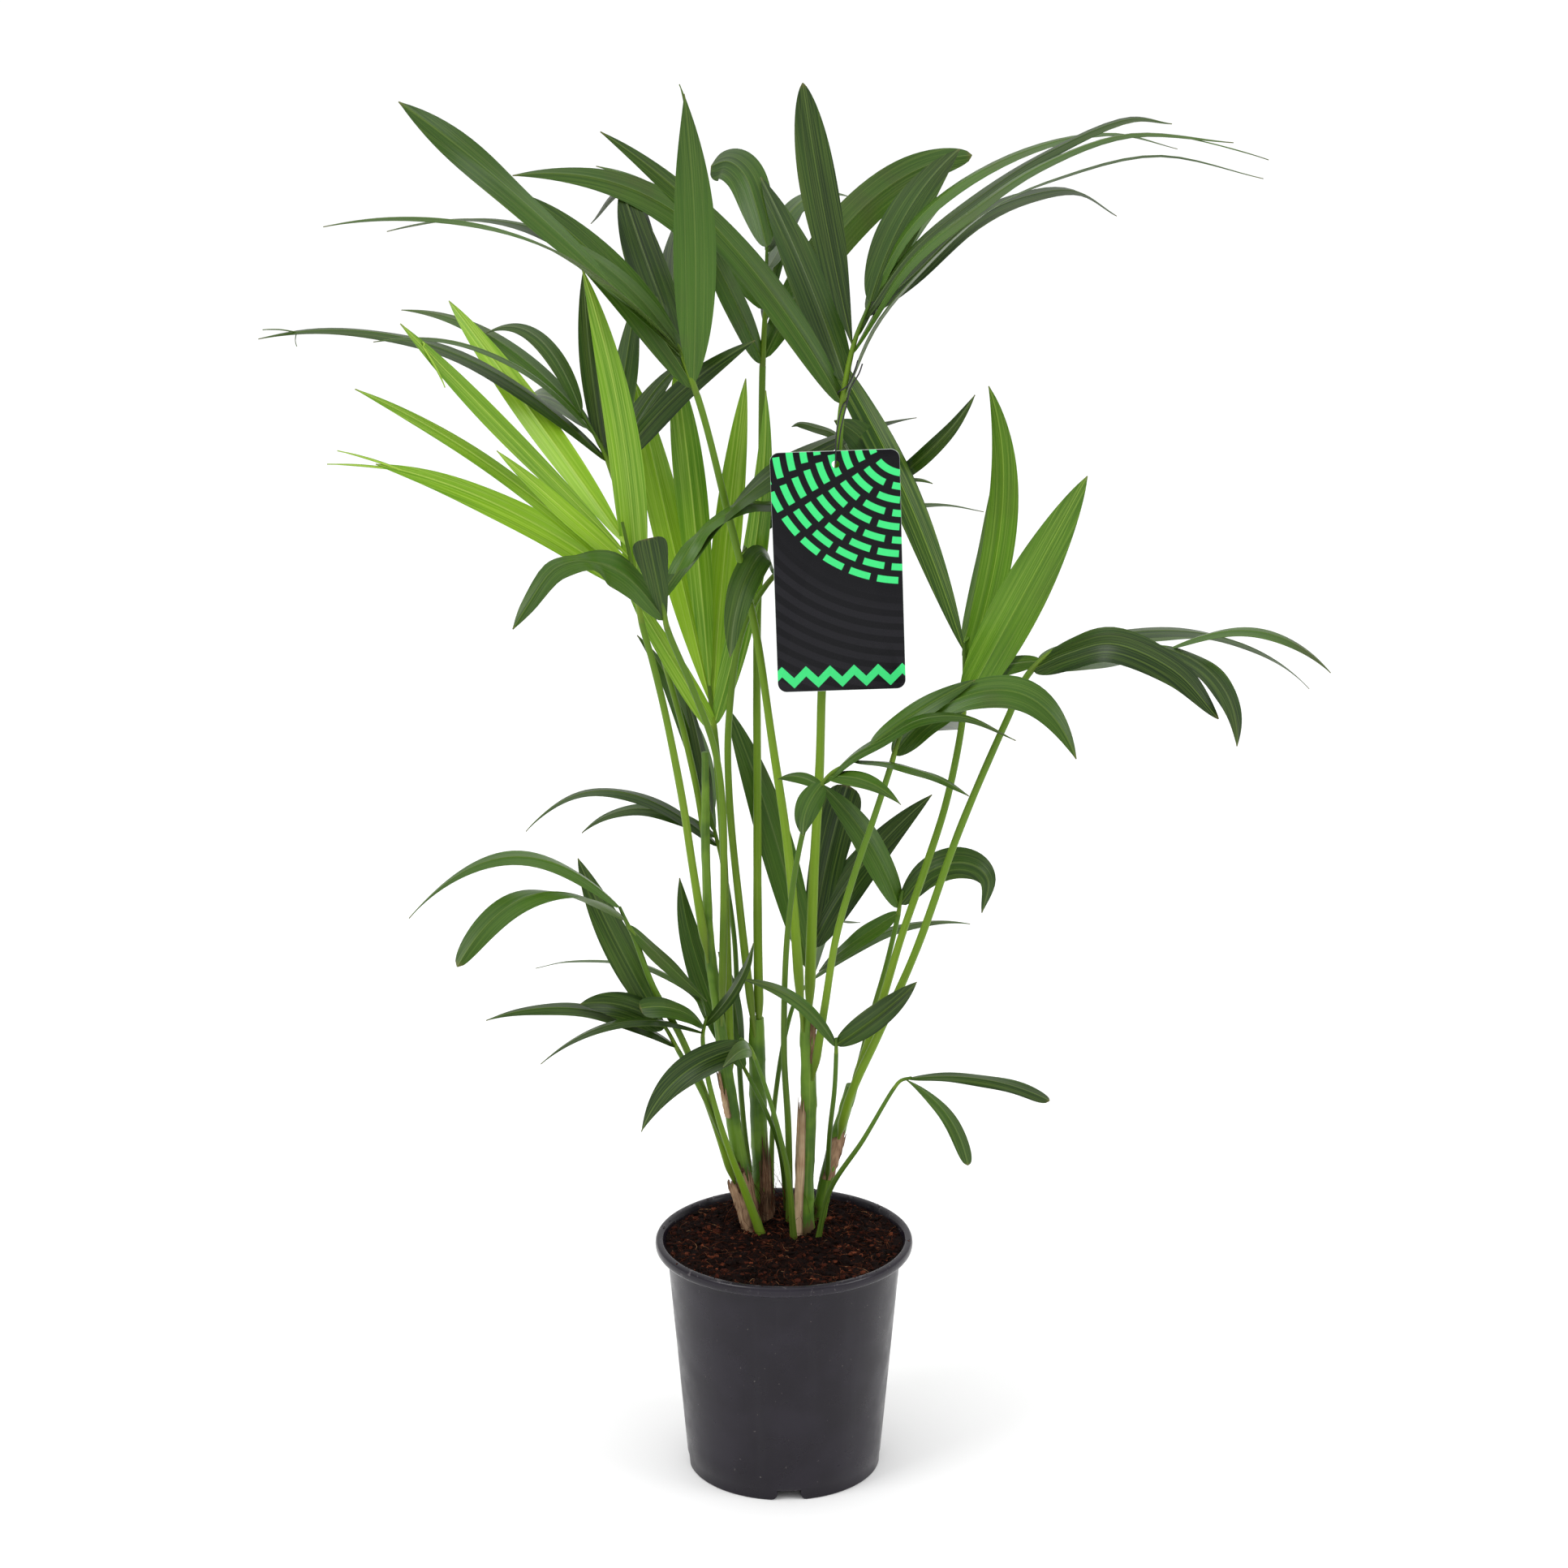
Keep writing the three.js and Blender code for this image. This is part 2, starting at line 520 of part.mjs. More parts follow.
// A cylinder, or a cone if `pointed`, bent along a curve: `sectionAt` gives, for a place from 0 to 1,
// the section's side and face vectors, and each point of the unit section, or of the `form` made of it, is
// carried to them.
function bent(curve, from, to, { sides, steps, grow, pointed = false, form = (x, z) => [x, z] }, sectionAt) {
  const geometry = new THREE.CylinderGeometry(pointed ? 0 : 1, 1, 1, sides, steps);
  const position = geometry.attributes.position;
  for (let index = 0; index < position.count; index += 1) {
    const share = position.getY(index) + 0.5;
    const over = (share < 1e-6 ? -grow : 0) + (share > 1 - 1e-6 ? grow : 0);
    const station = stationOn(curve, from + (to - from) * share, over);
    const { side, face } = sectionAt(share, station.direction);
    const scale = pointed && share < 1 - 1e-6 ? 1 / (1 - share) : 1;
    const [across, up] = form(scale * position.getX(index), scale * position.getZ(index));
    station.point.addScaledVector(side, across);
    station.point.addScaledVector(face, up);
    position.setXYZ(index, station.point.x, station.point.y, station.point.z);
  }
  return solidOf(geometry);
}

// A round limb that tapers from one radius to the other, with `flare` more at its foot.
function limb(curve, from, to, radii, { sides = STALK_SIDES, steps = 4, flare = 0, grow = 0 } = {}) {
  return bent(curve, from, to, { sides, steps, grow }, (share, direction) => {
    const radius = radii[0] + (radii[1] - radii[0]) * share + flare * Math.exp(-share * 12) + grow;
    const side = direction.clone().cross(FRONT).normalize();
    const face = side.clone().cross(direction).multiplyScalar(radius);
    return { side: side.multiplyScalar(radius), face };
  });
}

// A leaflet's half width from foot to tip, as a share of the widest.
function outline({ blunt = 0, swell = FOOT_SWELL, taper = TIP_TAPER }) {
  const raw = (share) => share ** swell * (1 - (1 - blunt) * share) ** taper;
  const widest = Math.max(...Array.from({ length: 21 }, (_, step) => raw(step / 20)));
  return (share) => raw(share) / widest;
}

// How far a leaflet's face is turned at a share of its length: an even S from each of several values to the
// next, and a straight change between two.
function turning(turn, share) {
  const turns = [turn].flat();
  if (turns.length === 1) return turns[0];
  const scaled = share * (turns.length - 1);
  const span = Math.min(Math.floor(scaled), turns.length - 2);
  const blend = turns.length > 2 ? THREE.MathUtils.smoothstep(scaled - span, 0, 1) : scaled;
  return THREE.MathUtils.lerp(turns[span], turns[span + 1], blend);
}

// A leaflet's section: a low triangle with the midrib on top, or, for the space that it keeps free, the same
// with upright edges. `across` is in half widths and `up` in millimetres.
function bladeForm(grow) {
  return (x, z) => {
    if (Math.hypot(x, z) < 0.5) return [0, 0];
    if (Math.abs(x) < 0.1) return [0, BLADE_THICKNESS * (2 / 3) + grow];
    return [Math.sign(x), (z > 0 ? grow : -grow) - BLADE_THICKNESS / 3];
  };
}

// A leaflet: a blade that bows upwards between its foot and its tip.
function leaflet(foot, row, grow = 0) {
  const { tip: end, bow, wide, turn, blunt = 0, late = BOW_PLACE, via = [] } = row;
  const tip = sight(end);
  const chord = tip.clone().sub(foot);
  const lean = chord.x < 0 ? -1 : 1;
  const rise = new THREE.Vector3(-chord.z, 0, chord.x).multiplyScalar(lean).normalize();
  const across = chord.clone().cross(rise).normalize();
  const bend = foot.clone().lerp(tip, late).addScaledVector(rise, 2 * bow);
  const midrib = via.length
    ? new THREE.CatmullRomCurve3([foot, ...via.map(sight), tip], false, 'centripetal')
    : new THREE.QuadraticBezierCurve3(foot, bend, tip);
  const shape = outline(row);
  const steps = 3 + (Math.abs(bow) > 25 ? 1 : 0) + (via.length > 2 ? 1 : 0);
  const options = { sides: grow ? 5 : 3, steps, grow, pointed: blunt === 0, form: bladeForm(grow) };
  return bent(midrib, 0, 1, options, (share, direction) => {
    const angle = THREE.MathUtils.degToRad(turning(turn, share));
    const upper = across.clone().cross(direction);
    const facing = across.clone().multiplyScalar(lean * Math.cos(angle));
    facing.addScaledVector(upper, Math.sin(angle));
    const side = direction.clone().cross(facing).normalize();
    const half = Math.max((wide / 2) * shape(share), EDGE_HALF_WIDTH) + grow;
    return { face: side.clone().cross(direction), side: side.multiplyScalar(half) };
  });
}

// ---------------------------------------------------------------- pot and soil

function cylinder(radius, height, x, y, z, sides) {
  const geometry = new THREE.CylinderGeometry(radius, radius, height, sides);
  geometry.rotateX(Math.PI / 2);
  geometry.translate(x, y, z);
  return solidOf(geometry);
}

function box(wide, deep, tall, x, y, z, turn = 0) {
  const geometry = new THREE.BoxGeometry(wide, deep, tall);
  geometry.translate(x, y, z);
  geometry.rotateZ(turn);
  return solidOf(geometry);
}

// A profile of [radius, height] points turned round the upright axis.
function turned(profile, sides) {
  const points = profile.map(([radius, height]) => new THREE.Vector2(radius, height));
  const geometry = new THREE.LatheGeometry(points, sides);
  geometry.rotateX(Math.PI / 2);
  return solidOf(geometry);
}

const LIP_FOOT = POT_HEIGHT - LIP_HEIGHT;

// The wall's outer radius at a height.
function wallRadius(height) {
  return FOOT_RADIUS + ((WALL_TOP_RADIUS - FOOT_RADIUS) * height) / LIP_FOOT;
}

function potSolid() {
  const ringInside = FOOT_RADIUS - FOOT_RING_WIDTH;
  const profile = [
    [0, 0], [HUB_RADIUS, 0], [HUB_RADIUS, FLOOR_BOTTOM], [ringInside, FLOOR_BOTTOM], [ringInside, 0],
    [FOOT_RADIUS, 0], [WALL_TOP_RADIUS, LIP_FOOT], [RIM_RADIUS - 0.5, LIP_FOOT + 1.5],
    [RIM_RADIUS, LIP_FOOT + 4], [RIM_RADIUS - 1, POT_HEIGHT], [RIM_RADIUS - 5, POT_HEIGHT],
    [wallRadius(LIP_FOOT) - WALL, LIP_FOOT], [wallRadius(FLOOR_TOP) - WALL, FLOOR_TOP], [0, FLOOR_TOP],
  ];
  let pot = turned(profile, POT_SIDES);
  const front = THREE.MathUtils.degToRad(NOTCH_TURN);
  for (let number = 0; number < NOTCH_COUNT; number += 1) {
    const angle = (number / NOTCH_COUNT) * 2 * Math.PI + front;
    const middle = FOOT_RADIUS - FOOT_RING_WIDTH / 2;
    pot = pot.subtract(box(NOTCH_WIDTH, 2 * FOOT_RING_WIDTH, 2 * FLOOR_BOTTOM, 0, -middle, 0, angle));
  }
  for (let number = 0; number < DRAIN_COUNT; number += 1) {
    const angle = (number / DRAIN_COUNT) * 2 * Math.PI + front;
    const x = DRAIN_CIRCLE * Math.sin(angle);
    const y = -DRAIN_CIRCLE * Math.cos(angle);
    pot = pot.subtract(cylinder(DRAIN_RADIUS, 4 * FLOOR_TOP, x, y, 0, DRAIN_SIDES));
  }
  return pot;
}

function soilSolid() {
  const clear = WALL + GAP;
  const profile = [
    [0, FLOOR_TOP + GAP], [wallRadius(FLOOR_TOP) - clear - 1, FLOOR_TOP + GAP],
    [wallRadius(LIP_FOOT) - clear - 0.6, LIP_FOOT], [SOIL_RADIUS, SOIL_EDGE],
    [SOIL_FLAT_RADIUS, SOIL_TOP], [0, SOIL_TOP],
  ];
  return turned(profile, POT_SIDES);
}

// ---------------------------------------------------------------- tag and wire

// The tag's hole, in the tag's own sheet, is at its middle, so that the card hangs and tilts round it.
function tagSolid() {
  const { wide, tall, thick, corner, hole, tilt } = TAG;
  const left = -TAG_HOLE_FROM_LEFT;
  const top = TAG_HOLE_FROM_TOP;
  const right = left + wide;
  const bottom = top - tall;
  const card = new THREE.Shape();
  card.moveTo(left + corner, bottom);
  card.absarc(right - corner, bottom + corner, corner, -Math.PI / 2, 0);
  card.absarc(right - corner, top - corner, corner, 0, Math.PI / 2);
  card.absarc(left + corner, top - corner, corner, Math.PI / 2, Math.PI);
  card.absarc(left + corner, bottom + corner, corner, Math.PI, 1.5 * Math.PI);
  const eyelet = new THREE.Path();
  eyelet.absarc(0, 0, hole, 0, 2 * Math.PI, true);
  card.holes.push(eyelet);
  const geometry = new THREE.ExtrudeGeometry(card, { depth: thick, bevelEnabled: false, curveSegments: 3 });
  geometry.translate(0, 0, -thick / 2);
  geometry.rotateZ(THREE.MathUtils.degToRad(tilt));
  geometry.rotateX(Math.PI / 2);
  const centre = sight(TAG_HOLE_PLACE);
  geometry.translate(centre.x, centre.y, centre.z);
  return solidOf(geometry);
}

// The wire: two strands from the hole, one before and one behind the card, up to the leaf stalk,
// which they clasp from both sides, and on to the twisted ends.
function wireSolid(grow = 0) {
  const hole = sight(TAG_HOLE_PLACE);
  const clasp = sight(WIRE_CLASP);
  const reach = 2.35 + WIRE_RADIUS + GAP;
  const from = (base, x, y, z) => new THREE.Vector3(base.x + x, base.y + y, base.z + z);
  const points = [
    from(clasp, 9.5, -6.5, 23), from(clasp, 7, -5, 14), from(clasp, 3, -reach - 1.2, 6),
    from(clasp, -reach, -1.5, 1), from(clasp, -1.5, reach, -2), from(clasp, reach, 0.5, -4),
    from(clasp, 0, -reach - 1, -7), from(hole, 0.6, -2.2, 22), from(hole, 0, -2, 8), from(hole, 0, -1.3, 1.4),
    from(hole, 0, 0, 0.6), from(hole, 0.2, 1.6, 2.6), from(hole, 1.6, 1.8, 10), from(hole, 3.4, -1.2, 24),
    from(clasp, 2.4, -reach - 2.6, -6), from(clasp, 4.6, -reach - 3, 4), from(clasp, 10.4, -8, 15),
    from(clasp, 12.5, -7.5, 21),
  ];
  const path = new THREE.CatmullRomCurve3(points, false, 'centripetal');
  const ring = new THREE.Shape();
  ring.absarc(0, 0, WIRE_RADIUS + grow, 0, 2 * Math.PI);
  const geometry = new THREE.ExtrudeGeometry(ring, { steps: 36, curveSegments: 2, extrudePath: path });
  return solidOf(geometry);
}

// ---------------------------------------------------------------- assembly

const group = new THREE.Group();

function place(name, solid, colour, roughness) {
  const material = new THREE.MeshStandardMaterial({ color: colour, roughness, metalness: 0 });
  const mesh = new THREE.Mesh(geometryOf(solid), material);
  mesh.name = name;
  group.add(mesh);
}

const COLOURS = {
  pot: 0x38363a, soil: 0x2d140c, stem: 0x5f7a2c, stalk: 0x7da239, mature: 0x3f5a2c, young: 0x86ad34,
  tag: 0x191a20, wire: 0x1c1c1c,
};

place('pot', potSolid(), COLOURS.pot, 0.45);
place('soil', soilSolid(), COLOURS.soil, 0.95);

const tag = tagSolid();
place('tag_card', tag, COLOURS.tag, 0.4);
place('tag_wire', wireSolid(), COLOURS.wire, 0.5);

// Everything that grows is cut off flat on the soil.
const ground = box(2 * RIM_RADIUS, 2 * RIM_RADIUS, SOIL_TOP, 0, 0, SOIL_TOP / 2 + GAP);
const obstacles = [ground, wireSolid(GAP)];

// The space round the card, with room for its tilt.
function tagSpace() {
  const hole = sight(TAG_HOLE_PLACE);
  const x = hole.x + TAG.wide / 2 - TAG_HOLE_FROM_LEFT;
  const z = hole.z + TAG_HOLE_FROM_TOP - TAG.tall / 2;
  return box(TAG.wide + 12, TAG_CLEARANCE, TAG.tall + 6, x, hole.y, z);
}

function curveThrough(points) {
  return new THREE.CatmullRomCurve3(points.map(sight), false, 'centripetal');
}

for (const [name, { points, radii, flare }] of Object.entries(STEMS)) {
  const curve = curveThrough(points);
  const options = { sides: STEM_SIDES, steps: 6, flare };
  place(`stem_${name}`, trimmed(limb(curve, 0, 1, radii, options), obstacles), COLOURS.stem, 0.6);
  obstacles.push(limb(curve, 0, 1, radii, { ...options, grow: GAP }));
}

const blades = [];
for (const [name, { radii, stalk, rib, leaflets }] of Object.entries(FRONDS)) {
  const curve = curveThrough([...stalk, ...rib]);
  const joint = (stalk.length - 1) / (stalk.length + rib.length - 1);
  place(`stalk_${name}`, trimmed(limb(curve, 0, joint, radii), obstacles), COLOURS.stalk, 0.5);
  obstacles.push(limb(curve, 0, joint, radii, { grow: GAP }));
  const start = placeAfter(curve, joint, 1.5 * GAP);
  const steps = rib.length;
  const parts = (grow) => [
    limb(curve, start, 1, [radii[1], RIB_TIP_RADIUS], { sides: RIB_SIDES, steps, grow }),
    ...leaflets.map((row) => leaflet(chordPoint(curve, start, 1, steps, row.at), row, grow)),
  ];
  blades.push({ name, parts });
}

obstacles.push(tagSpace());
for (const { name, parts } of blades) {
  const blade = parts(0).reduce((joined, piece) => joined.add(piece));
  const colour = name.endsWith('young') || name === 'right_upright' ? COLOURS.young : COLOURS.mature;
  place(`frond_${name}`, trimmed(blade, obstacles), colour, 0.45);
  obstacles.push(...parts(BLADE_GAP));
}

export default group;
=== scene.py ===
"""The looks of a potted kentia palm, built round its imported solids.

The tables are in millimetres and the scene is in metres, +Z up. The origin is the middle of the pot's
underside, and the plant faces -Y.
"""

import math

import bpy
import numpy as np
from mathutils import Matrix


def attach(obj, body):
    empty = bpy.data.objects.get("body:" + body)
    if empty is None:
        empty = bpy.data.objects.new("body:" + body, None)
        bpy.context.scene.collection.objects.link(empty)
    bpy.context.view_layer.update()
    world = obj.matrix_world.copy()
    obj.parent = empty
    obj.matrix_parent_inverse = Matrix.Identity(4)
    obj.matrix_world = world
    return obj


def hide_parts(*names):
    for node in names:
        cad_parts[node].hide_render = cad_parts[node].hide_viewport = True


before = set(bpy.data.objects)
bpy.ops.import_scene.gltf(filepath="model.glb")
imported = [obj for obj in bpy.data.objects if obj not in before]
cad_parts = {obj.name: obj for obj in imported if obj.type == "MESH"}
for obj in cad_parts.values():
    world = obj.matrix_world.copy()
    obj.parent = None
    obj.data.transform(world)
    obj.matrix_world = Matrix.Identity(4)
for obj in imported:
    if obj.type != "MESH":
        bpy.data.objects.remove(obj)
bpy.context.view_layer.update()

# ---------------------------------------------------------------- sizes

MM = 0.001
TURN = 2 * math.pi

# Pot
RIM_RADIUS = 90
POT_HEIGHT = 170
FOOT_RADIUS = 67.8
WALL_TOP_RADIUS = 81.8
LIP_FOOT = 162
WALL = 1.6
FLOOR_BOTTOM = 7.5
FLOOR_TOP = 9.5
FOOT_RING_WIDTH = 8
HUB_RADIUS = 14
NOTCH_COUNT = 4
NOTCH_WIDTH = 16.5
NOTCH_CORNER = 4.5
NOTCH_TURN = 3
DRAIN_COUNT = 8
DRAIN_RADIUS = 5
DRAIN_CIRCLE = 46

# Soil
SOIL_EDGE = 165
SOIL_TOP = 168
SOIL_FLAT_RADIUS = 62
SOIL_RADIUS = 83.2
CRUMBS = 4200
RIM_CRUMBS = 70
FIBRES = 1700

# Hang tag
TAG_WIDE = 85
TAG_TALL = 162
TAG_THICK = 0.8
TAG_CORNER = 6
TAG_HOLE = 2.6
TAG_RING_PITCH = 9
TAG_TILT = 2
TAG_HOLE_FROM_TOP = 9
TAG_HOLE_FROM_LEFT = 43
TAG_HOLE_PLACE = (34, 719, 17)
WIRE_CLASP = (38.6, 766, 4)
WIRE_RADIUS = 0.5

# Leaves
RIB_TIP_RADIUS = 1.1
BLADE_ROWS = 34
BLADE_COLUMNS = 15
EDGE_THICKNESS = 0.2
MIDRIB_THICKNESS = 0.5
MIDRIB_REACH = 0.8
FOLD = 0.16
PLEAT_DEPTH = 0.015
PLEATS = 3
THREAD_WIDTH = 1.8
THREAD_START = 0.84

# The plant is laid out on an upright sheet through the pot's axis, as seen from a standpoint in front:
# each place is (out to the right, height, how far before the sheet along its line of sight).
STANDPOINT_AHEAD = 2400
STANDPOINT_HIGH = 1200

# ---------------------------------------------------------------- the plant's tables


def leaf(at, tip, bow, wide, turn, blunt=0, late=0.56, swell=0.5, taper=0.85, via=(), threads=()):
    """A leaflet: its place along the rib (0 to 1), its tip, how far it bows up and its greatest width.

    turn is how far its face turns from front (0) to up (90); several values follow one another from its
    foot to its tip. blunt is the share of its width left at the tip, late the place of its bend, swell the
    power by which it widens and taper the one by which it narrows, via extra places that its midrib passes,
    and threads the tips of fine strands off its end.
    """
    return {
        "at": at, "tip": tip, "bow": bow, "wide": wide, "turn": turn, "blunt": blunt, "late": late,
        "swell": swell, "taper": taper, "via": via, "threads": threads,
    }


def frond(radii, stalk, rib, *leaves, young=0.0):
    """A frond: its stalk's radii at foot and joint, the stalk's and the rib's places, and its leaflets."""
    return {"radii": radii, "stalk": stalk, "rib": rib, "leaves": leaves, "young": young}


STEMS = {
    "left": {
        "points": [(-21, 168, -26), (-27, 205, -26), (-36, 262, -26), (-46, 340, -26), (-52, 400, -26),
                   (-53, 522, -26)],
        "radii": (6.5, 2.4),
        "flare": 2.5,
    },
    "dark": {
        "points": [(-14, 172, -42), (-16, 220, -42), (-18, 270, -42), (-19, 332, -42)],
        "radii": (7.0, 5.2),
        "flare": 2.0,
    },
    "middle": {
        "points": [(14, 165, -18), (15, 215, -20), (17, 270, -22), (16, 335, -22)],
        "radii": (6.6, 5.0),
        "flare": 1.5,
    },
    "right": {
        "points": [(23, 172, -38), (28, 205, -36), (37, 245, -32), (47, 282, -28)],
        "radii": (5.0, 4.4),
        "flare": 1.5,
    },
}

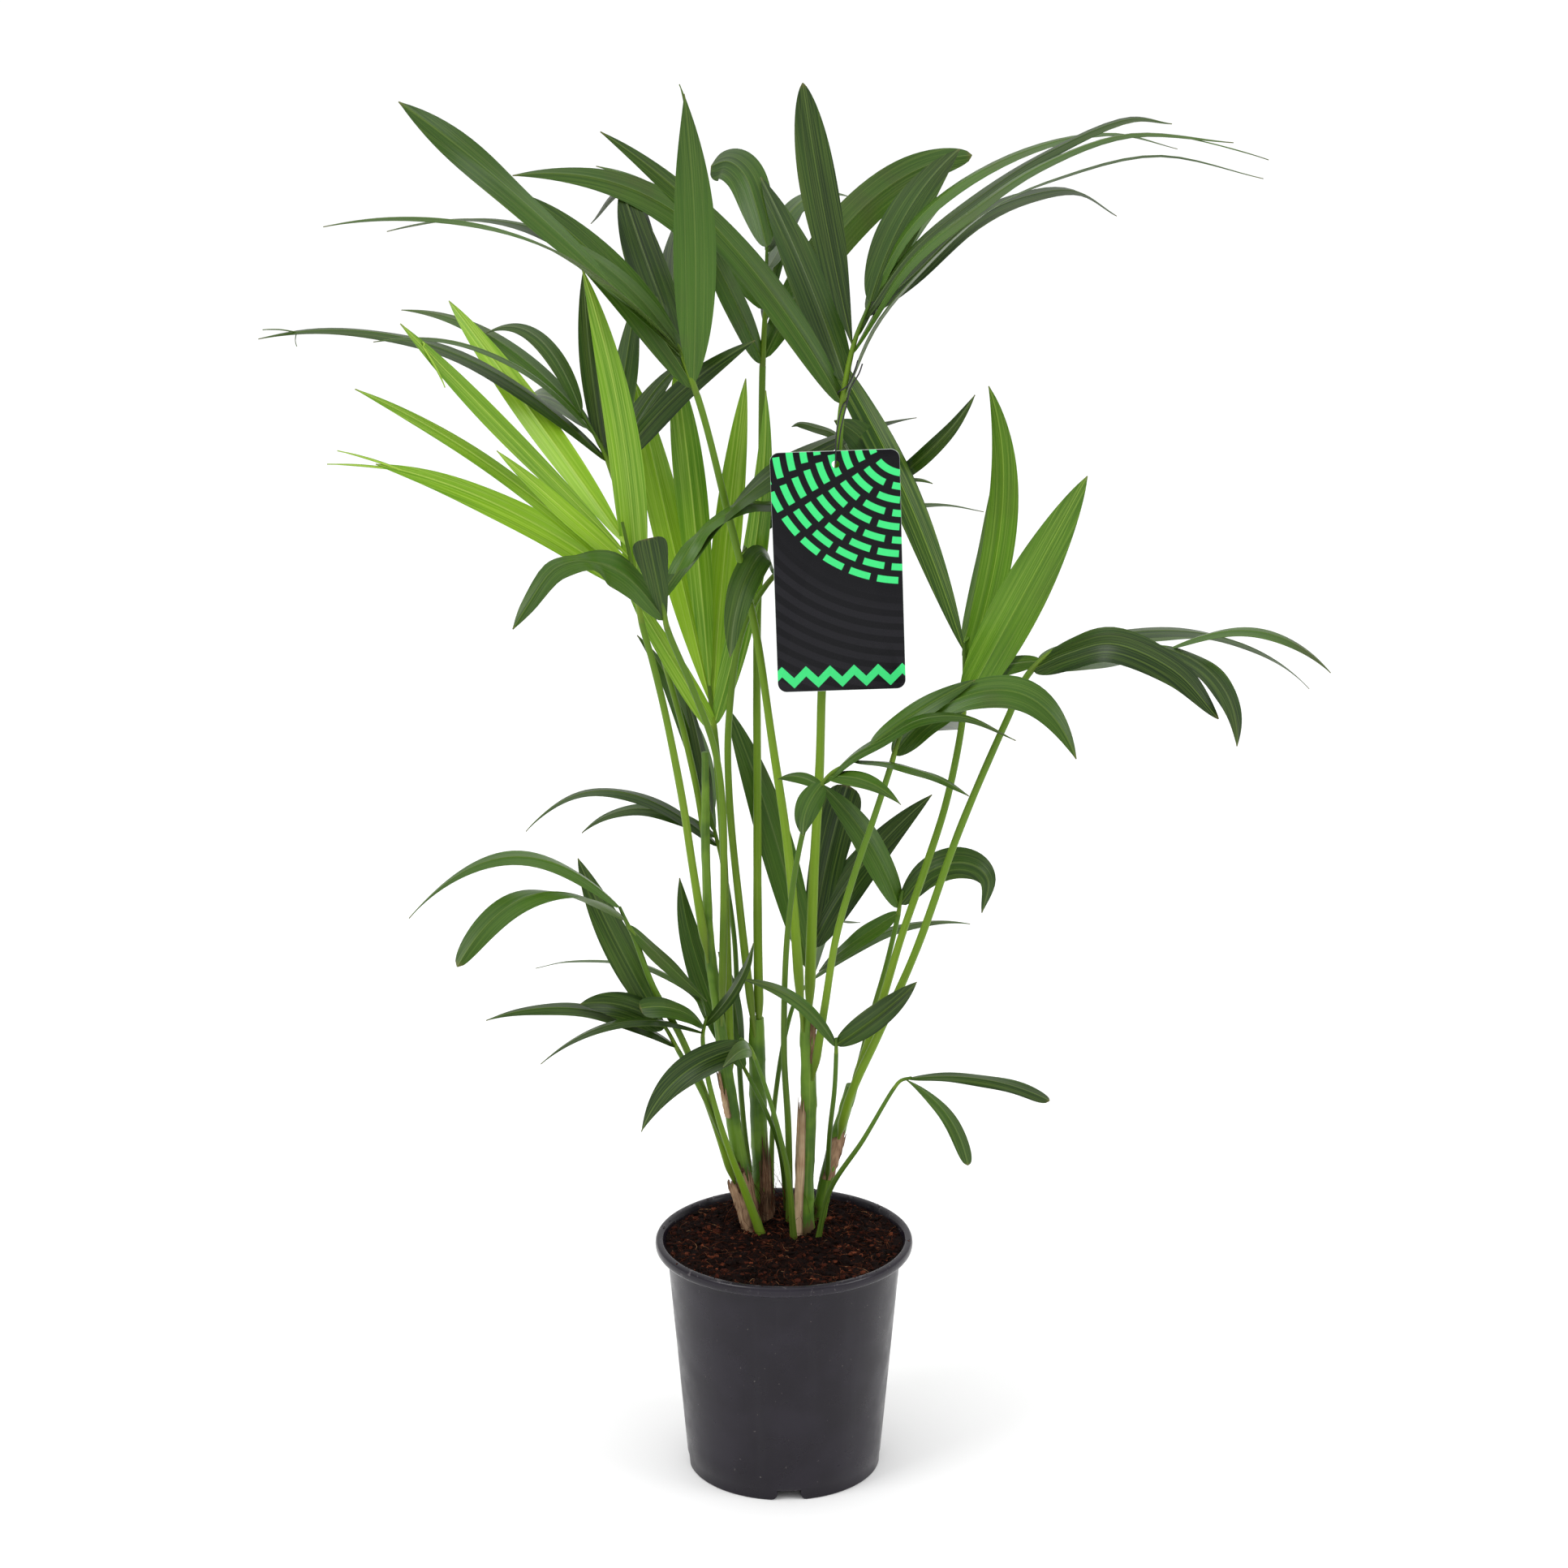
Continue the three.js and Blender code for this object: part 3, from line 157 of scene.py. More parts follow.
FRONDS = {
    "left_top": frond(
        (3.2, 2.2),
        [(13, 322, -17), (3, 450, -10), (-8, 530, -6), (-20, 612, -7), (-38, 690, -3), (-57, 765, 20)],
        [(-72, 803, 14), (-88, 832, 4)],
        leaf(0.30, (-247, 955, 120), 6, 26, (75, 58, 20), late=0.62, swell=1.3, taper=0.95),
        leaf(0.05, (-177, 898, 20), 12, 26, 25, late=0.62),
        leaf(0.35, (-298, 875, 190), 36, 16, 97),
        leaf(0.40, (-257, 872, 90), 37, 22, (30, 125)),
        leaf(0.08, (-64, 960, 75), 4, 28, 10, swell=0.75, taper=1.05, threads=((-67, 966, 75),)),
        leaf(0.30, (-105, 902, -50), -1, 27, 25, swell=0.9),
        leaf(0.60, (-125, 877, -80), 22, 14, 60, via=((-104, 899, -80),)),
        leaf(0.20, (-58, 900, -170), 12, 24, 25),
    ),
    "centre_top": frond(
        (3.2, 2.2),
        [(-17, 320, -40), (-18, 400, -44), (-18, 500, -50), (-18, 600, -54), (-15, 700, -56),
         (-14, 784, -58)],
        [(-12, 825, -60), (-11, 862, -64)],
        leaf(0.45, (-175, 908, -40), 30, 24, (30, 50)),
        leaf(0.55, (-121, 914, -110), 15, 16, 65),
        leaf(0.02, (-62, 884, -10), 2, 20, 40),
        leaf(1.00, (-47, 914, -120), 0, 28, 15, blunt=0.5,
             via=((-17, 886, -80), (-25, 908, -95), (-36, 917, -110))),
        leaf(0.95, (45, 893, -190), 18, 14, 55),
        leaf(0.05, (121, 921, -120), 26, 27, 15, blunt=0.2, late=0.68),
        leaf(0.35, (24, 905, -260), 10, 12, 25),
        leaf(0.80, (-14, 880, -230), 12, 10, 30),
    ),
    "right_top": frond(
        (3.6, 2.3),
        [(17, 325, -28), (20, 430, -22), (24, 510, -12), (26, 580, -4), (34, 680, 2), (38, 757, 4)],
        [(46, 800, 2), (56, 826, -4)],
        leaf(0.45, (12, 967, 20), -2, 24.5, 10, swell=1.0, taper=0.7),
        leaf(1.00, (113, 925, -90), 9, 26, 15, swell=0.6),
        leaf(0.75, (249, 941, -40), 22, 18, 70,
             via=((82, 858, -14), (123, 892, -20), (165, 920, -28), (222, 944, -36))),
        leaf(0.52, (253, 925, -110), 31, 17, 76,
             via=((76, 866, -30), (108, 899, -55), (159, 925, -80), (211, 935, -100))),
        leaf(0.38, (289, 929, 20), 31, 18, 78,
             via=((82, 852, 2), (123, 886, 8), (165, 914, 12), (220, 934, 16)), threads=((312, 918, 25),)),
        leaf(0.04, (309, 906, 80), 37, 12, 97,
             via=((58, 809, 6), (89, 847, 20), (134, 887, 42), (178, 907, 54), (240, 921, 68))),
        leaf(0.80, (215, 882, -170), 22, 17, 62, taper=0.6,
             via=((82, 842, -50), (119, 877, -90), (154, 894, -130), (188, 898, -155))),
        leaf(0.02, (-118, 936, 0), 15, 22, 30),
        leaf(0.18, (-15, 907, -90), 3, 26, 20),
        leaf(0.90, (110, 898, -240), 8, 14, 40),
    ),
    "left_dark": frond(
        (2.4, 1.9),
        [(-50, 378, -31), (-55, 470, -46), (-66, 530, -50), (-85, 605, -46), (-98, 665, -42),
         (-113, 712, -38)],
        [(-119, 728, -38), (-133, 754, -40)],
        leaf(0.25, (-343, 802, -40), 35, 20, 75, threads=((-318, 797, -40), (-340, 808, -40))),
        leaf(0.90, (-249, 821, -130), 16, 16, 60, late=0.6),
        leaf(0.70, (-268, 800, -10), 24, 14, 85),
        leaf(1.00, (-194, 806, -90), 20, 14, 45, late=0.75),
        leaf(0.50, (-130, 848, -80), -2, 15, 20),
        leaf(0.15, (-96, 830, -130), 0, 19, 20),
        leaf(0.02, (-66, 787, -60), 6.5, 18, 35),
        leaf(0.05, (-19, 801, 0), 8, 18, 35),
        leaf(0.80, (-172, 758, -190), 14, 14, 40),
    ),
    "right_upright": frond(
        (2.9, 2.3),
        [(44, 268, -24), (67, 343, -2), (80, 390, 4), (97, 443, 6), (110, 488, 2), (120, 545, -4)],
        [(121, 570, -8), (120, 598, -12)],
        leaf(0.60, (134, 771, -40), -16, 22, 20, late=0.64),
        leaf(0.20, (200, 711, 50), 0, 32, 10),
        leaf(0.90, (18, 811, -22), 9, 22, (20, 38), swell=0.75, taper=0.75),
        leaf(0.80, (174, 668, -170), -3, 20, 30),
        leaf(1.00, (136, 700, -130), -4, 14, 30),
        young=0.6,
    ),
    "left_young": frond(
        (2.9, 2.2),
        [(-52, 372, -22), (-62, 440, -14), (-69, 490, -6), (-80, 550, 2), (-88, 585, 6), (-95, 612, 10)],
        [(-99, 640, 18), (-107, 680, 26)],
        leaf(0.80, (-218, 827, -100), 1, 20, 20, swell=0.75, taper=0.8),
        leaf(0.70, (-250, 812, 120), 0, 14, 35, swell=0.9, threads=((-236, 800, 112), (-222, 770, 105))),
        leaf(0.60, (-189, 728, 100), 0, 13, 40),
        leaf(0.40, (-281, 769, 90), 11, 12, 45, swell=0.8),
        leaf(0.40, (-269, 719, 10), 11, 21, 35, threads=((-301, 719, 10), (-294, 728, 10))),
        leaf(0.30, (-131, 848, 30), 8, 22, 15),
        young=0.9,
    ),
    "centre_young": frond(
        (2.8, 2.4),
        [(-37, 286, -31), (-38, 350, -38), (-41, 450, -40), (-44, 500, -40), (-47, 538, -40)],
        [(-49, 556, -44), (-51, 580, -50)],
        leaf(0.45, (-98, 775, -100), 0, 24, 15, swell=0.9, taper=0.8),
        leaf(0.60, (-71, 782, -70), 2, 22, 10, late=0.62, swell=1.0, taper=0.75),
        leaf(0.20, (-25, 776, -100), 2.5, 20, 10, late=0.4, swell=0.9, taper=0.8),
        leaf(0.05, (-12, 768, -20), -9, 18, 15),
        leaf(0.95, (-68, 715, -200), 1, 14, 20),
        leaf(0.70, (-38, 690, -170), 0, 8, 25),
        leaf(0.00, (-104, 636, -10), 0, 14, 20, swell=0.3, taper=0.6),
        young=1.0,
    ),
    "left_folded": frond(
        (2.6, 2.1),
        [(-43, 326, -21), (-41, 420, -14), (-42, 490, -8), (-47, 525, 0), (-62, 568, 16), (-78, 608, 34)],
        [(-80, 620, 40), (-83, 632, 46)],
        leaf(0.20, (-181, 607, 110), 44, 24, (10, 15, 80, 68, 60),
             via=((-98, 637, 50), (-112, 648, 66), (-127, 653, 78), (-141, 653, 88), (-154, 647, 96),
                  (-171, 623, 106))),
        leaf(0.10, (-90, 669, 70), 0, 27, 5, blunt=0.95, swell=0.8, taper=0.3),
        leaf(0.90, (87, 750, -50), 24, 22, (20, 92, 55, 70, 80), swell=0.7),
        leaf(0.80, (132, 687, -60), 28, 18, (20, 90, 74, 82, 82),
             via=((-62, 663, 30), (-50, 678, 22), (-26, 691, 6), (-8, 692, -6), (81, 692, -40),
                  (107, 692, -50))),
    ),
    "right_long": frond(
        (3.2, 2.2),
        [(38, 243, -26), (46, 275, -12), (66, 322, 4), (90, 380, 18), (120, 470, 24), (150, 545, 24),
         (165, 578, 24)],
        [(190, 597, 26), (225, 600, 30), (258, 594, 34)],
        leaf(1.00, (366, 577, 60), 20, 16, 80),
        leaf(0.35, (352, 566, -60), 24, 18, 86),
        leaf(0.25, (297, 598, -130), 9, 18, 86),
        leaf(0.92, (305, 526, 100), 16.5, 18, 42),
        leaf(0.02, (292, 545, 80), 7, 26, (30, 42), taper=0.7,
             via=((192, 591, 42), (220, 597, 56), (262, 578, 70))),
        leaf(0.08, (228, 584, -150), 6, 20, 55),
        leaf(0.10, (118, 561, -50), 8, 14, 60),
        leaf(0.60, (270, 585, -200), 2, 18, 88),
    ),
    "behind_tag": frond(
        (2.8, 2.0),
        [(-20, 318, -37), (-30, 410, -32), (-37, 490, -29), (-37, 545, -26), (-28, 605, -25),
         (-12, 637, -28)],
        [(20, 668, -36), (66, 704, -46)],
        leaf(0.12, (-36, 588, 30), 24, 20, 15, swell=0.6,
             via=((-14, 659, -12), (-26, 640, 4), (-33, 614, 18))),
        leaf(1.00, (125, 765, 40), -5, 11, 30),
        leaf(1.00, (98, 706, -20), 4, 6, 75),
        leaf(0.97, (33, 748, 0), 9, 26, 15),
        leaf(0.90, (5, 744, -60), 14, 10, 60, via=((34, 738, -55), (21, 743, -58), (10, 746, -60))),
        leaf(0.70, (60, 640, -180), 20, 24, 40),
        leaf(0.50, (20, 640, -190), 22, 24, 40),
        leaf(0.45, (-28, 659, -30), 12, 14, 20, via=((0, 688, -42), (-16, 677, -38))),
    ),
    "left_arching": frond(
        (2.9, 2.0),
        [(-34, 208, -22), (-48, 255, -8), (-60, 290, 4), (-72, 320, 16), (-90, 355, 30), (-103, 392, 44)],
        [(-107, 400, 48), (-112, 412, 53)],
        leaf(1.00, (-256, 404, 110), 39, 22, (70, 90), taper=1.3),
        leaf(0.60, (-224, 369, 130), 35, 21, (118, 40), blunt=0.3, swell=0.7, taper=1.3),
        leaf(0.40, (-53, 344, 10), 0, 14, 62),
    ),
    "left_low": frond(
        (2.2, 1.7),
        [(-34, 222, -20), (-50, 262, 0), (-61, 286, 10), (-73, 308, 20)],
        [(-80, 322, 22), (-90, 338, 24)],
        leaf(0.10, (-205, 330, 62), 17.5, 20, 82, taper=1.0),
        leaf(0.60, (-140, 342, 50), 7, 22, 45),
        leaf(0.90, (-140, 447, -20), -2, 22, 15),
        leaf(0.70, (-112, 345, -120), 6, 18, 50),
    ),
    "left_lowest": frond(
        (3.0, 1.5),
        [(-14, 165, -14), (-27, 203, -12), (-36, 228, -6), (-45, 256, 2), (-53, 290, 8), (-56, 318, 14)],
        [(-55, 325, 14), (-53, 333, 13)],
        leaf(0.20, (-168, 298, 90), 19, 16, (82, 104), taper=1.0),
        leaf(0.50, (-99, 339, 60), 7, 16, 64, blunt=0.5),
        leaf(0.60, (-21, 386, 40), -5, 11, 55),
        leaf(0.90, (-170, 368, -60), 22, 11, 98,
             via=((-60, 349, 10), (-91, 368, -5), (-115, 373, -20), (-148, 373, -45))),
    ),
    "front_drooping": frond(
        (2.2, 1.4),
        [(7, 165, -6), (3, 215, 2), (-3, 245, 8), (-10, 272, 14), (-20, 302, 22)],
        [(-24, 311, 26), (-30, 317, 30)],
        leaf(0.50, (-99, 248, 90), 14, 21, 25, taper=1.0),
        leaf(0.20, (-42, 296, 70), 8, 12, 40),
    ),
    "upright_low": frond(
        (1.9, 1.5),
        [(3, 176, -56), (-3, 235, -40), (-12, 262, -28), (-24, 288, -30)],
        [(-28, 296, -36), (-32, 306, -44)],
        leaf(0.40, (-71, 433, -56), -7, 20, 20),
        leaf(0.80, (-45, 380, -62), 4, 12, 35),
    ),
    "right_small": frond(
        (1.9, 1.5),
        [(30, 212, -30), (32, 250, -8), (35, 280, 0), (36, 306, 6)],
        [(36, 311, 8), (36, 317, 10)],
        leaf(0.50, (-29, 360, 30), 10, 10, 35),
        leaf(0.60, (91, 358, 60), -2, 17, 20),
    ),
    "right_drooping": frond(
        (2.0, 1.4),
        [(23, 163, -4), (32, 204, 2), (55, 242, 16), (76, 280, 28)],
        [(81, 286, 32), (88, 288, 36)],
        leaf(0.80, (184, 271, 70), 8, 14, 74, blunt=0.6, swell=0.6, taper=1.9),
        leaf(0.70, (128, 223, 110), 9, 12, 55, blunt=0.4, swell=1.0, taper=1.6),
    ),
    "right_low": frond(
        (2.0, 1.7),
        [(47, 276, -33), (60, 332, -34), (70, 370, -28), (78, 407, -24)],
        [(79, 414, -24), (81, 424, -26)],
        leaf(0.30, (24, 500, -36), 7, 22, 35),
        leaf(0.50, (135, 408, -20), 38, 22, 25,
             via=((97, 436, -22), (116, 444, -20), (131, 441, -19), (139, 431, -19))),
        leaf(0.05, (24, 366, -70), 2, 14, 50),
        leaf(0.90, (104, 440, -150), 4, 16, 35),
    ),
    "centre_dark": frond(
        (2.4, 2.0),
        [(16, 326, -27), (17, 346, -38), (17, 366, -46)],
        [(19, 380, -54), (22, 396, -62)],
        leaf(0.02, (-38, 553, -66), 5, 25, 20, swell=0.6, taper=0.8),
        leaf(0.50, (43, 499, -110), 3, 30, 10, blunt=0.7),
        leaf(0.60, (100, 492, -110), 8, 25, 20, late=0.45),
        leaf(0.90, (20, 460, -220), 8, 20, 70),
    ),
    "left_middle": frond(
        (2.0, 1.7),
        [(-19, 186, -54), (-27, 245, -64), (-31, 300, -72), (-34, 390, -68), (-42, 445, -60)],
        [(-46, 462, -58), (-50, 480, -59)],
        leaf(0.60, (-98, 603, -76), 10, 17, 50, late=0.66),
        leaf(0.90, (-67, 566, -66), 2, 12, 45),
        leaf(0.30, (-175, 466, -30), 34, 17, (66, 95), late=0.68, taper=1.0),
        leaf(0.50, (-137, 465, -70), 19, 14, 66, late=0.6),
        leaf(0.95, (-60, 545, -180), 2, 12, 25),
    ),
    "right_arching": frond(
        (2.8, 2.1),
        [(20, 286, -17), (28, 340, 0), (36, 392, 14), (48, 436, 24), (61, 476, 32), (72, 512, 38)],
        [(77, 530, 42), (84, 546, 46)],
        leaf(0.70, (197, 517, 70), 38.5, 23, 35, late=0.66, swell=0.8),
        leaf(0.20, (132, 556, 20), 10, 22, 40),
        leaf(0.90, (120, 538, -110), 10, 20, 50),
    ),
    "right_thin": frond(
        (2.4, 1.7),
        [(4, 176, -32), (3, 250, -10), (0, 310, 2), (3, 400, 14), (14, 470, 26), (24, 496, 32)],
        [(32, 507, 36), (45, 515, 42), (58, 526, 48)],
        leaf(0.10, (13, 463, 60), 4, 17, 10),
        leaf(0.25, (79, 485, 100), 7, 12, 48, taper=1.0),
        leaf(0.70, (125, 491, 90), 6.5, 15, 86),
        leaf(0.10, (156, 530, 70), 12.5, 17, 76, taper=1.0,
             via=((46, 519, 44), (67, 531, 52), (92, 545, 60), (122, 546, 66))),
        leaf(1.00, (128, 572, 50), 3, 16, 40),
        leaf(0.05, (-4, 503, 10), 4, 10, 60),
    ),
    "back_low": frond(
        (2.0, 1.5),
        [(-9, 178, -56), (-8, 250, -68), (-4, 290, -74), (1, 320, -78), (8, 345, -80)],
        [(14, 354, -82), (22, 362, -86)],
        leaf(0.90, (127, 400, -110), 15, 14, 82),
        leaf(0.60, (52, 401, -200), 14, 12, 94, via=((31, 399, -190), (39, 402, -195))),
        leaf(0.30, (10, 378, -170), 2, 8, 60),
    ),
}


def sheath(host, low, high, angles, stand, ragged, tint, side_curl=0.6):
    """A torn, dry leaf sheath on a stem or stalk.

    It lies between two heights and two angles round its host (0 is right, 90 behind, 180 left, 270 in front),
    stands off by `stand` at its top, and its top edge is ragged by `ragged`. tint runs from dark to pale.
    """
    return {
        "host": host, "low": low, "high": high, "angles": angles, "stand": stand, "ragged": ragged,
        "tint": tint, "side_curl": side_curl,
    }


SHEATHS = {
    "left_foot": sheath("left", 158, 206, (150, 275), 5.5, 9, 0.72),
    "left_foot_inner": sheath("left", 160, 218, (215, 330), 1.6, 14, 0.6),
    "left_collar": sheath("left", 204, 222, (170, 290), 2.2, 8, 0.2),
    "left_torn": sheath("left", 250, 288, (140, 262), 1.2, 16, 0.85),
    "dark_foot": sheath("dark", 160, 240, (262, 335), 0.9, 34, 0.4),
    "dark_foot_low": sheath("dark", 158, 200, (230, 345), 1.6, 22, 0.25),
    "middle_foot": sheath("middle", 158, 270, (168, 262), 1.2, 18, 0.95),
    "middle_upper": sheath("middle", 292, 328, (285, 335), 0.5, 10, 0.6),
    "right_patch": sheath("right", 200, 242, (235, 345), 0.6, 9, 0.65),
}

# ---------------------------------------------------------------- lines


def sight(places):
    """Table places as points in metres.

    A place `fore` before the sheet lies on the line from the standpoint to its spot on the sheet, so that it
    keeps its outline when its depth changes: the share of the way is fore / STANDPOINT_AHEAD.
    """
    out, high, fore = np.asarray(places, float).T
    share = fore / STANDPOINT_AHEAD
    return MM * np.column_stack([out * (1 - share), -fore, high + (STANDPOINT_HIGH - high) * share])


def spline(points, places):
    """A smooth line through the points, read off at places from 0 to 1 (centripetal Catmull-Rom).

    Each span is a cubic whose end slopes come from the neighbouring points, weighted by the square roots of
    the distances between them, and the first and last slopes are carried straight on.
    """
    points = np.asarray(points, float)
    padded = np.vstack([2 * points[0] - points[1], points, 2 * points[-1] - points[-2]])
    spans = len(points) - 1
    scaled = np.clip(places, 0, 1) * spans
    span = np.minimum(scaled.astype(int), spans - 1)
    share = (scaled - span)[:, None]
    before, near, far, after = (padded[span + step] for step in range(4))
    gaps = [np.linalg.norm(b - a, axis=1, keepdims=True) ** 0.5
            for a, b in ((before, near), (near, far), (far, after))]
    middle_slope = (far - near) / gaps[1]
    leave = ((near - before) / gaps[0] - (far - before) / (gaps[0] + gaps[1]) + middle_slope) * gaps[1]
    arrive = (middle_slope - (after - near) / (gaps[1] + gaps[2]) + (after - far) / gaps[2]) * gaps[1]
    second = 3 * (far - near) - 2 * leave - arrive
    third = 2 * (near - far) + leave + arrive
    return near + leave * share + second * share**2 + third * share**3


def unit(vectors):
    """The vectors divided by their lengths."""
    return vectors / np.linalg.norm(vectors, axis=-1, keepdims=True)


def directions(line):
    """The unit direction of a line at each of its points."""
    return unit(np.gradient(line, axis=0))


def limb_frame(line):
    """For each point of a limb's line, two unit vectors square to it: to the right and to the back."""
    ahead = directions(line)
    right = unit(np.cross(ahead, [0, -1, 0]))
    return right, np.cross(ahead, right)


def distances(line):
    """How far along a line each of its points lies, in metres."""
    steps = np.linalg.norm(np.diff(line, axis=0), axis=1)
    return np.concatenate([[0], np.cumsum(steps)])


def smooth(value, low, high):
    """0 below low, 1 above high and an even S between them."""
    share = np.clip((value - low) / (high - low), 0, 1)
    return share * share * (3 - 2 * share)


def ripples(points, wavelength, waves, seed):
    """Smooth uneven heights from about -1 to 1: the mean of sine waves in random directions."""
    chance = np.random.default_rng(seed)
    headings = unit(chance.normal(size=(waves, points.shape[-1])))
    lengths = wavelength * chance.uniform(0.6, 1.6, waves)
    phases = chance.uniform(0, TURN, waves)
    swings = points @ (headings * (TURN / lengths)[:, None]).T + phases
    return np.sin(swings).sum(axis=-1) / math.sqrt(waves)


# ---------------------------------------------------------------- surfaces

VALUES = ("tint", "along", "across", "under")


def tube_faces(rows, around, ends):
    """Corner numbers of the faces of a closed tube, once among its points and once among its unrolled map.

    The side is a lattice of quads. With ends "capped" a strip of quads closes either end, and with ends
    "joined" the last ring leads back to the first.
    """
    row = np.arange(rows if ends == "joined" else rows - 1)[:, None]
    column = np.arange(around)[None, :]
    following = (row + 1) % rows
    beside = (column + 1) % around
    wide = around + 1
    points = [row * around + column, row * around + beside, following * around + beside,
              following * around + column]
    spread = [row * wide + column, row * wide + column + 1, following * wide + column + 1,
              following * wide + column]
    points = np.stack(np.broadcast_arrays(*points), -1).reshape(-1, 4)
    spread = np.stack(np.broadcast_arrays(*spread), -1).reshape(-1, 4)
    if ends == "capped":
        step = np.arange(around // 2 - 1)
        cap = np.stack([step, step + 1, around - 2 - step, around - 1 - step], -1)
        points = np.vstack([points, cap[:, ::-1], cap + (rows - 1) * around])
        spread = np.vstack([spread, cap[:, ::-1], cap + (rows - 1) * wide])
    return points, spread


class Patchwork:
    """Closed surfaces gathered into one mesh, each point with its VALUES."""

    def __init__(self):
        self.count = 0
        self.points = []
        self.faces = []
        self.spread = []
        self.kinds = []
        self.values = {name: [] for name in VALUES}

    def add(self, rings, spread=None, kind=0, ends="capped", **values):
        """Adds tubes. rings holds the points as tubes x rows x around x 3, each ring turning to the left as
        seen looking back along the tube, spread the unrolled map, one column wider, and kind the material."""
        rings = np.asarray(rings, float)
        rings = rings[None] if rings.ndim == 3 else rings
        tubes, rows, around = rings.shape[:3]
        corners, unrolled = tube_faces(rows, around, ends)
        first = self.count + np.arange(tubes)[:, None, None] * rows * around
        self.points.append(rings.reshape(-1, 3))
        self.faces.append((corners[None] + first).reshape(-1, 4))
        if spread is None:
            spread = np.zeros((tubes, rows, around + 1, 2))
        flat = np.broadcast_to(spread, (tubes, rows, around + 1, 2)).reshape(tubes, -1, 2)
        self.spread.append(flat[:, unrolled].reshape(-1, 2))
        self.kinds.append(np.full(tubes * len(corners), kind))
        for name in VALUES:
            value = np.broadcast_to(values.get(name, 0.0), (tubes, rows, around))
            self.values[name].append(value.ravel())
        self.count += tubes * rows * around

    def piece(self, name, materials, slot, node=None, sharp=40):
        """The gathered surfaces as one object at the origin, riding on the part's body."""
        points = np.concatenate(self.points)
        faces = np.concatenate(self.faces)
        mesh = bpy.data.meshes.new(name)
        mesh.vertices.add(len(points))
        mesh.vertices.foreach_set("co", points.astype(np.float32).ravel())
        mesh.loops.add(faces.size)
        mesh.loops.foreach_set("vertex_index", faces.astype(np.int32).ravel())
        mesh.polygons.add(len(faces))
        mesh.polygons.foreach_set("loop_start", np.arange(0, faces.size, 4, dtype=np.int32))
        mesh.polygons.foreach_set("material_index", np.concatenate(self.kinds).astype(np.int32))
        mesh.uv_layers.new(name="spread").data.foreach_set("uv", np.concatenate(self.spread).ravel())
        for value in VALUES:
            layer = mesh.attributes.new(value, "FLOAT", "POINT")
            layer.data.foreach_set("value", np.concatenate(self.values[value]).astype(np.float32))
        mesh.update(calc_edges=True)
        mesh.validate()
        mesh.shade_smooth()
        mesh.set_sharp_from_angle(angle=math.radians(sharp))
        for material in materials:
            mesh.materials.append(material)
        piece = bpy.data.objects.new(name, mesh)
        bpy.context.scene.collection.objects.link(piece)
        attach(piece, "root")
        if node:
            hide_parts(node)
        return piece


def circle(first, second, around):
    """Unit vectors round a line: for each even step of angle, its cosine times the first vector plus its sine
    times the second."""
    angle = (np.arange(around) * TURN / around)[:, None]
    return np.cos(angle) * first[..., None, :] + np.sin(angle) * second[..., None, :]


def round_rings(line, radius, around):
    """Rings of points about a line, each a radius away from it, the first one on its right and those after it
    towards its back. radius may differ from row to row and from angle to angle."""
    right, back = limb_frame(line)
    reach = np.broadcast_to(radius, (len(line), around))[..., None]
    return line[:, None] + reach * circle(right, back, around)


def tube_spread(line, radius, around):
    """The unrolled map of a tube, in metres: how far along it, and how far round it."""
    along = distances(line)[:, None] + np.zeros(around + 1)
    girth = TURN * np.mean(radius)
    round_it = np.linspace(0, girth, around + 1)[None, :] + np.zeros((len(line), 1))
    return np.stack([along, round_it], -1)


# ---------------------------------------------------------------- leaflets, stalks and stems


def outline(row, share):
    """A leaflet's half width at a share of its length, over its widest: the share to the power swell, times
    (1 - (1 - blunt) share) to the power taper. A blunt tip is rounded off at its very end."""
    def raw(at):
        return at ** row["swell"] * (1 - (1 - row["blunt"]) * at) ** row["taper"]
    rounded = np.sqrt(1 - share**16) if row["blunt"] else 1
    return raw(share) / raw(np.linspace(0, 1, 21)).max() * rounded


def turning(row, share):
    """How far a leaflet's face is turned at a share of its length: an even S from each of its values to the
    next."""
    turns = np.atleast_1d(row["turn"]).astype(float)
    if len(turns) == 1:
        return turns[0] + 0 * share
    if len(turns) == 2:
        return turns[0] + (turns[1] - turns[0]) * share
    scaled = share * (len(turns) - 1)
    span = np.minimum(scaled.astype(int), len(turns) - 2)
    return turns[span] + (turns[span + 1] - turns[span]) * smooth(scaled - span, 0, 1)


def midrib(foot, row, share):
    """A leaflet's midrib and the upper normal of its arch.

    The midrib is a quadratic curve whose middle control point stands above the straight line from foot to tip
    by twice the bow. With extra places given, it is a spline through those instead.
    """
    tip = sight([row["tip"]])[0]
    chord = tip - foot
    lean = -1 if chord[0] < 0 else 1
    rise = lean * unit(np.array([-chord[2], 0, chord[0]]))
    across = unit(np.cross(chord, rise))
    if row["via"]:
        line = spline(np.vstack([foot, sight(row["via"]), tip]), share)
    else:
        bend = foot + (tip - foot) * row["late"] + 2 * row["bow"] * MM * rise
        at = share[:, None]
        line = (1 - at) ** 2 * foot + 2 * at * (1 - at) * bend + at**2 * tip
    ahead = directions(line)
    angle = np.radians(turning(row, share))[:, None]
    upper = np.cross(across, ahead)
    face = unit(lean * np.cos(angle) * across + np.sin(angle) * upper)
    return line, ahead, face


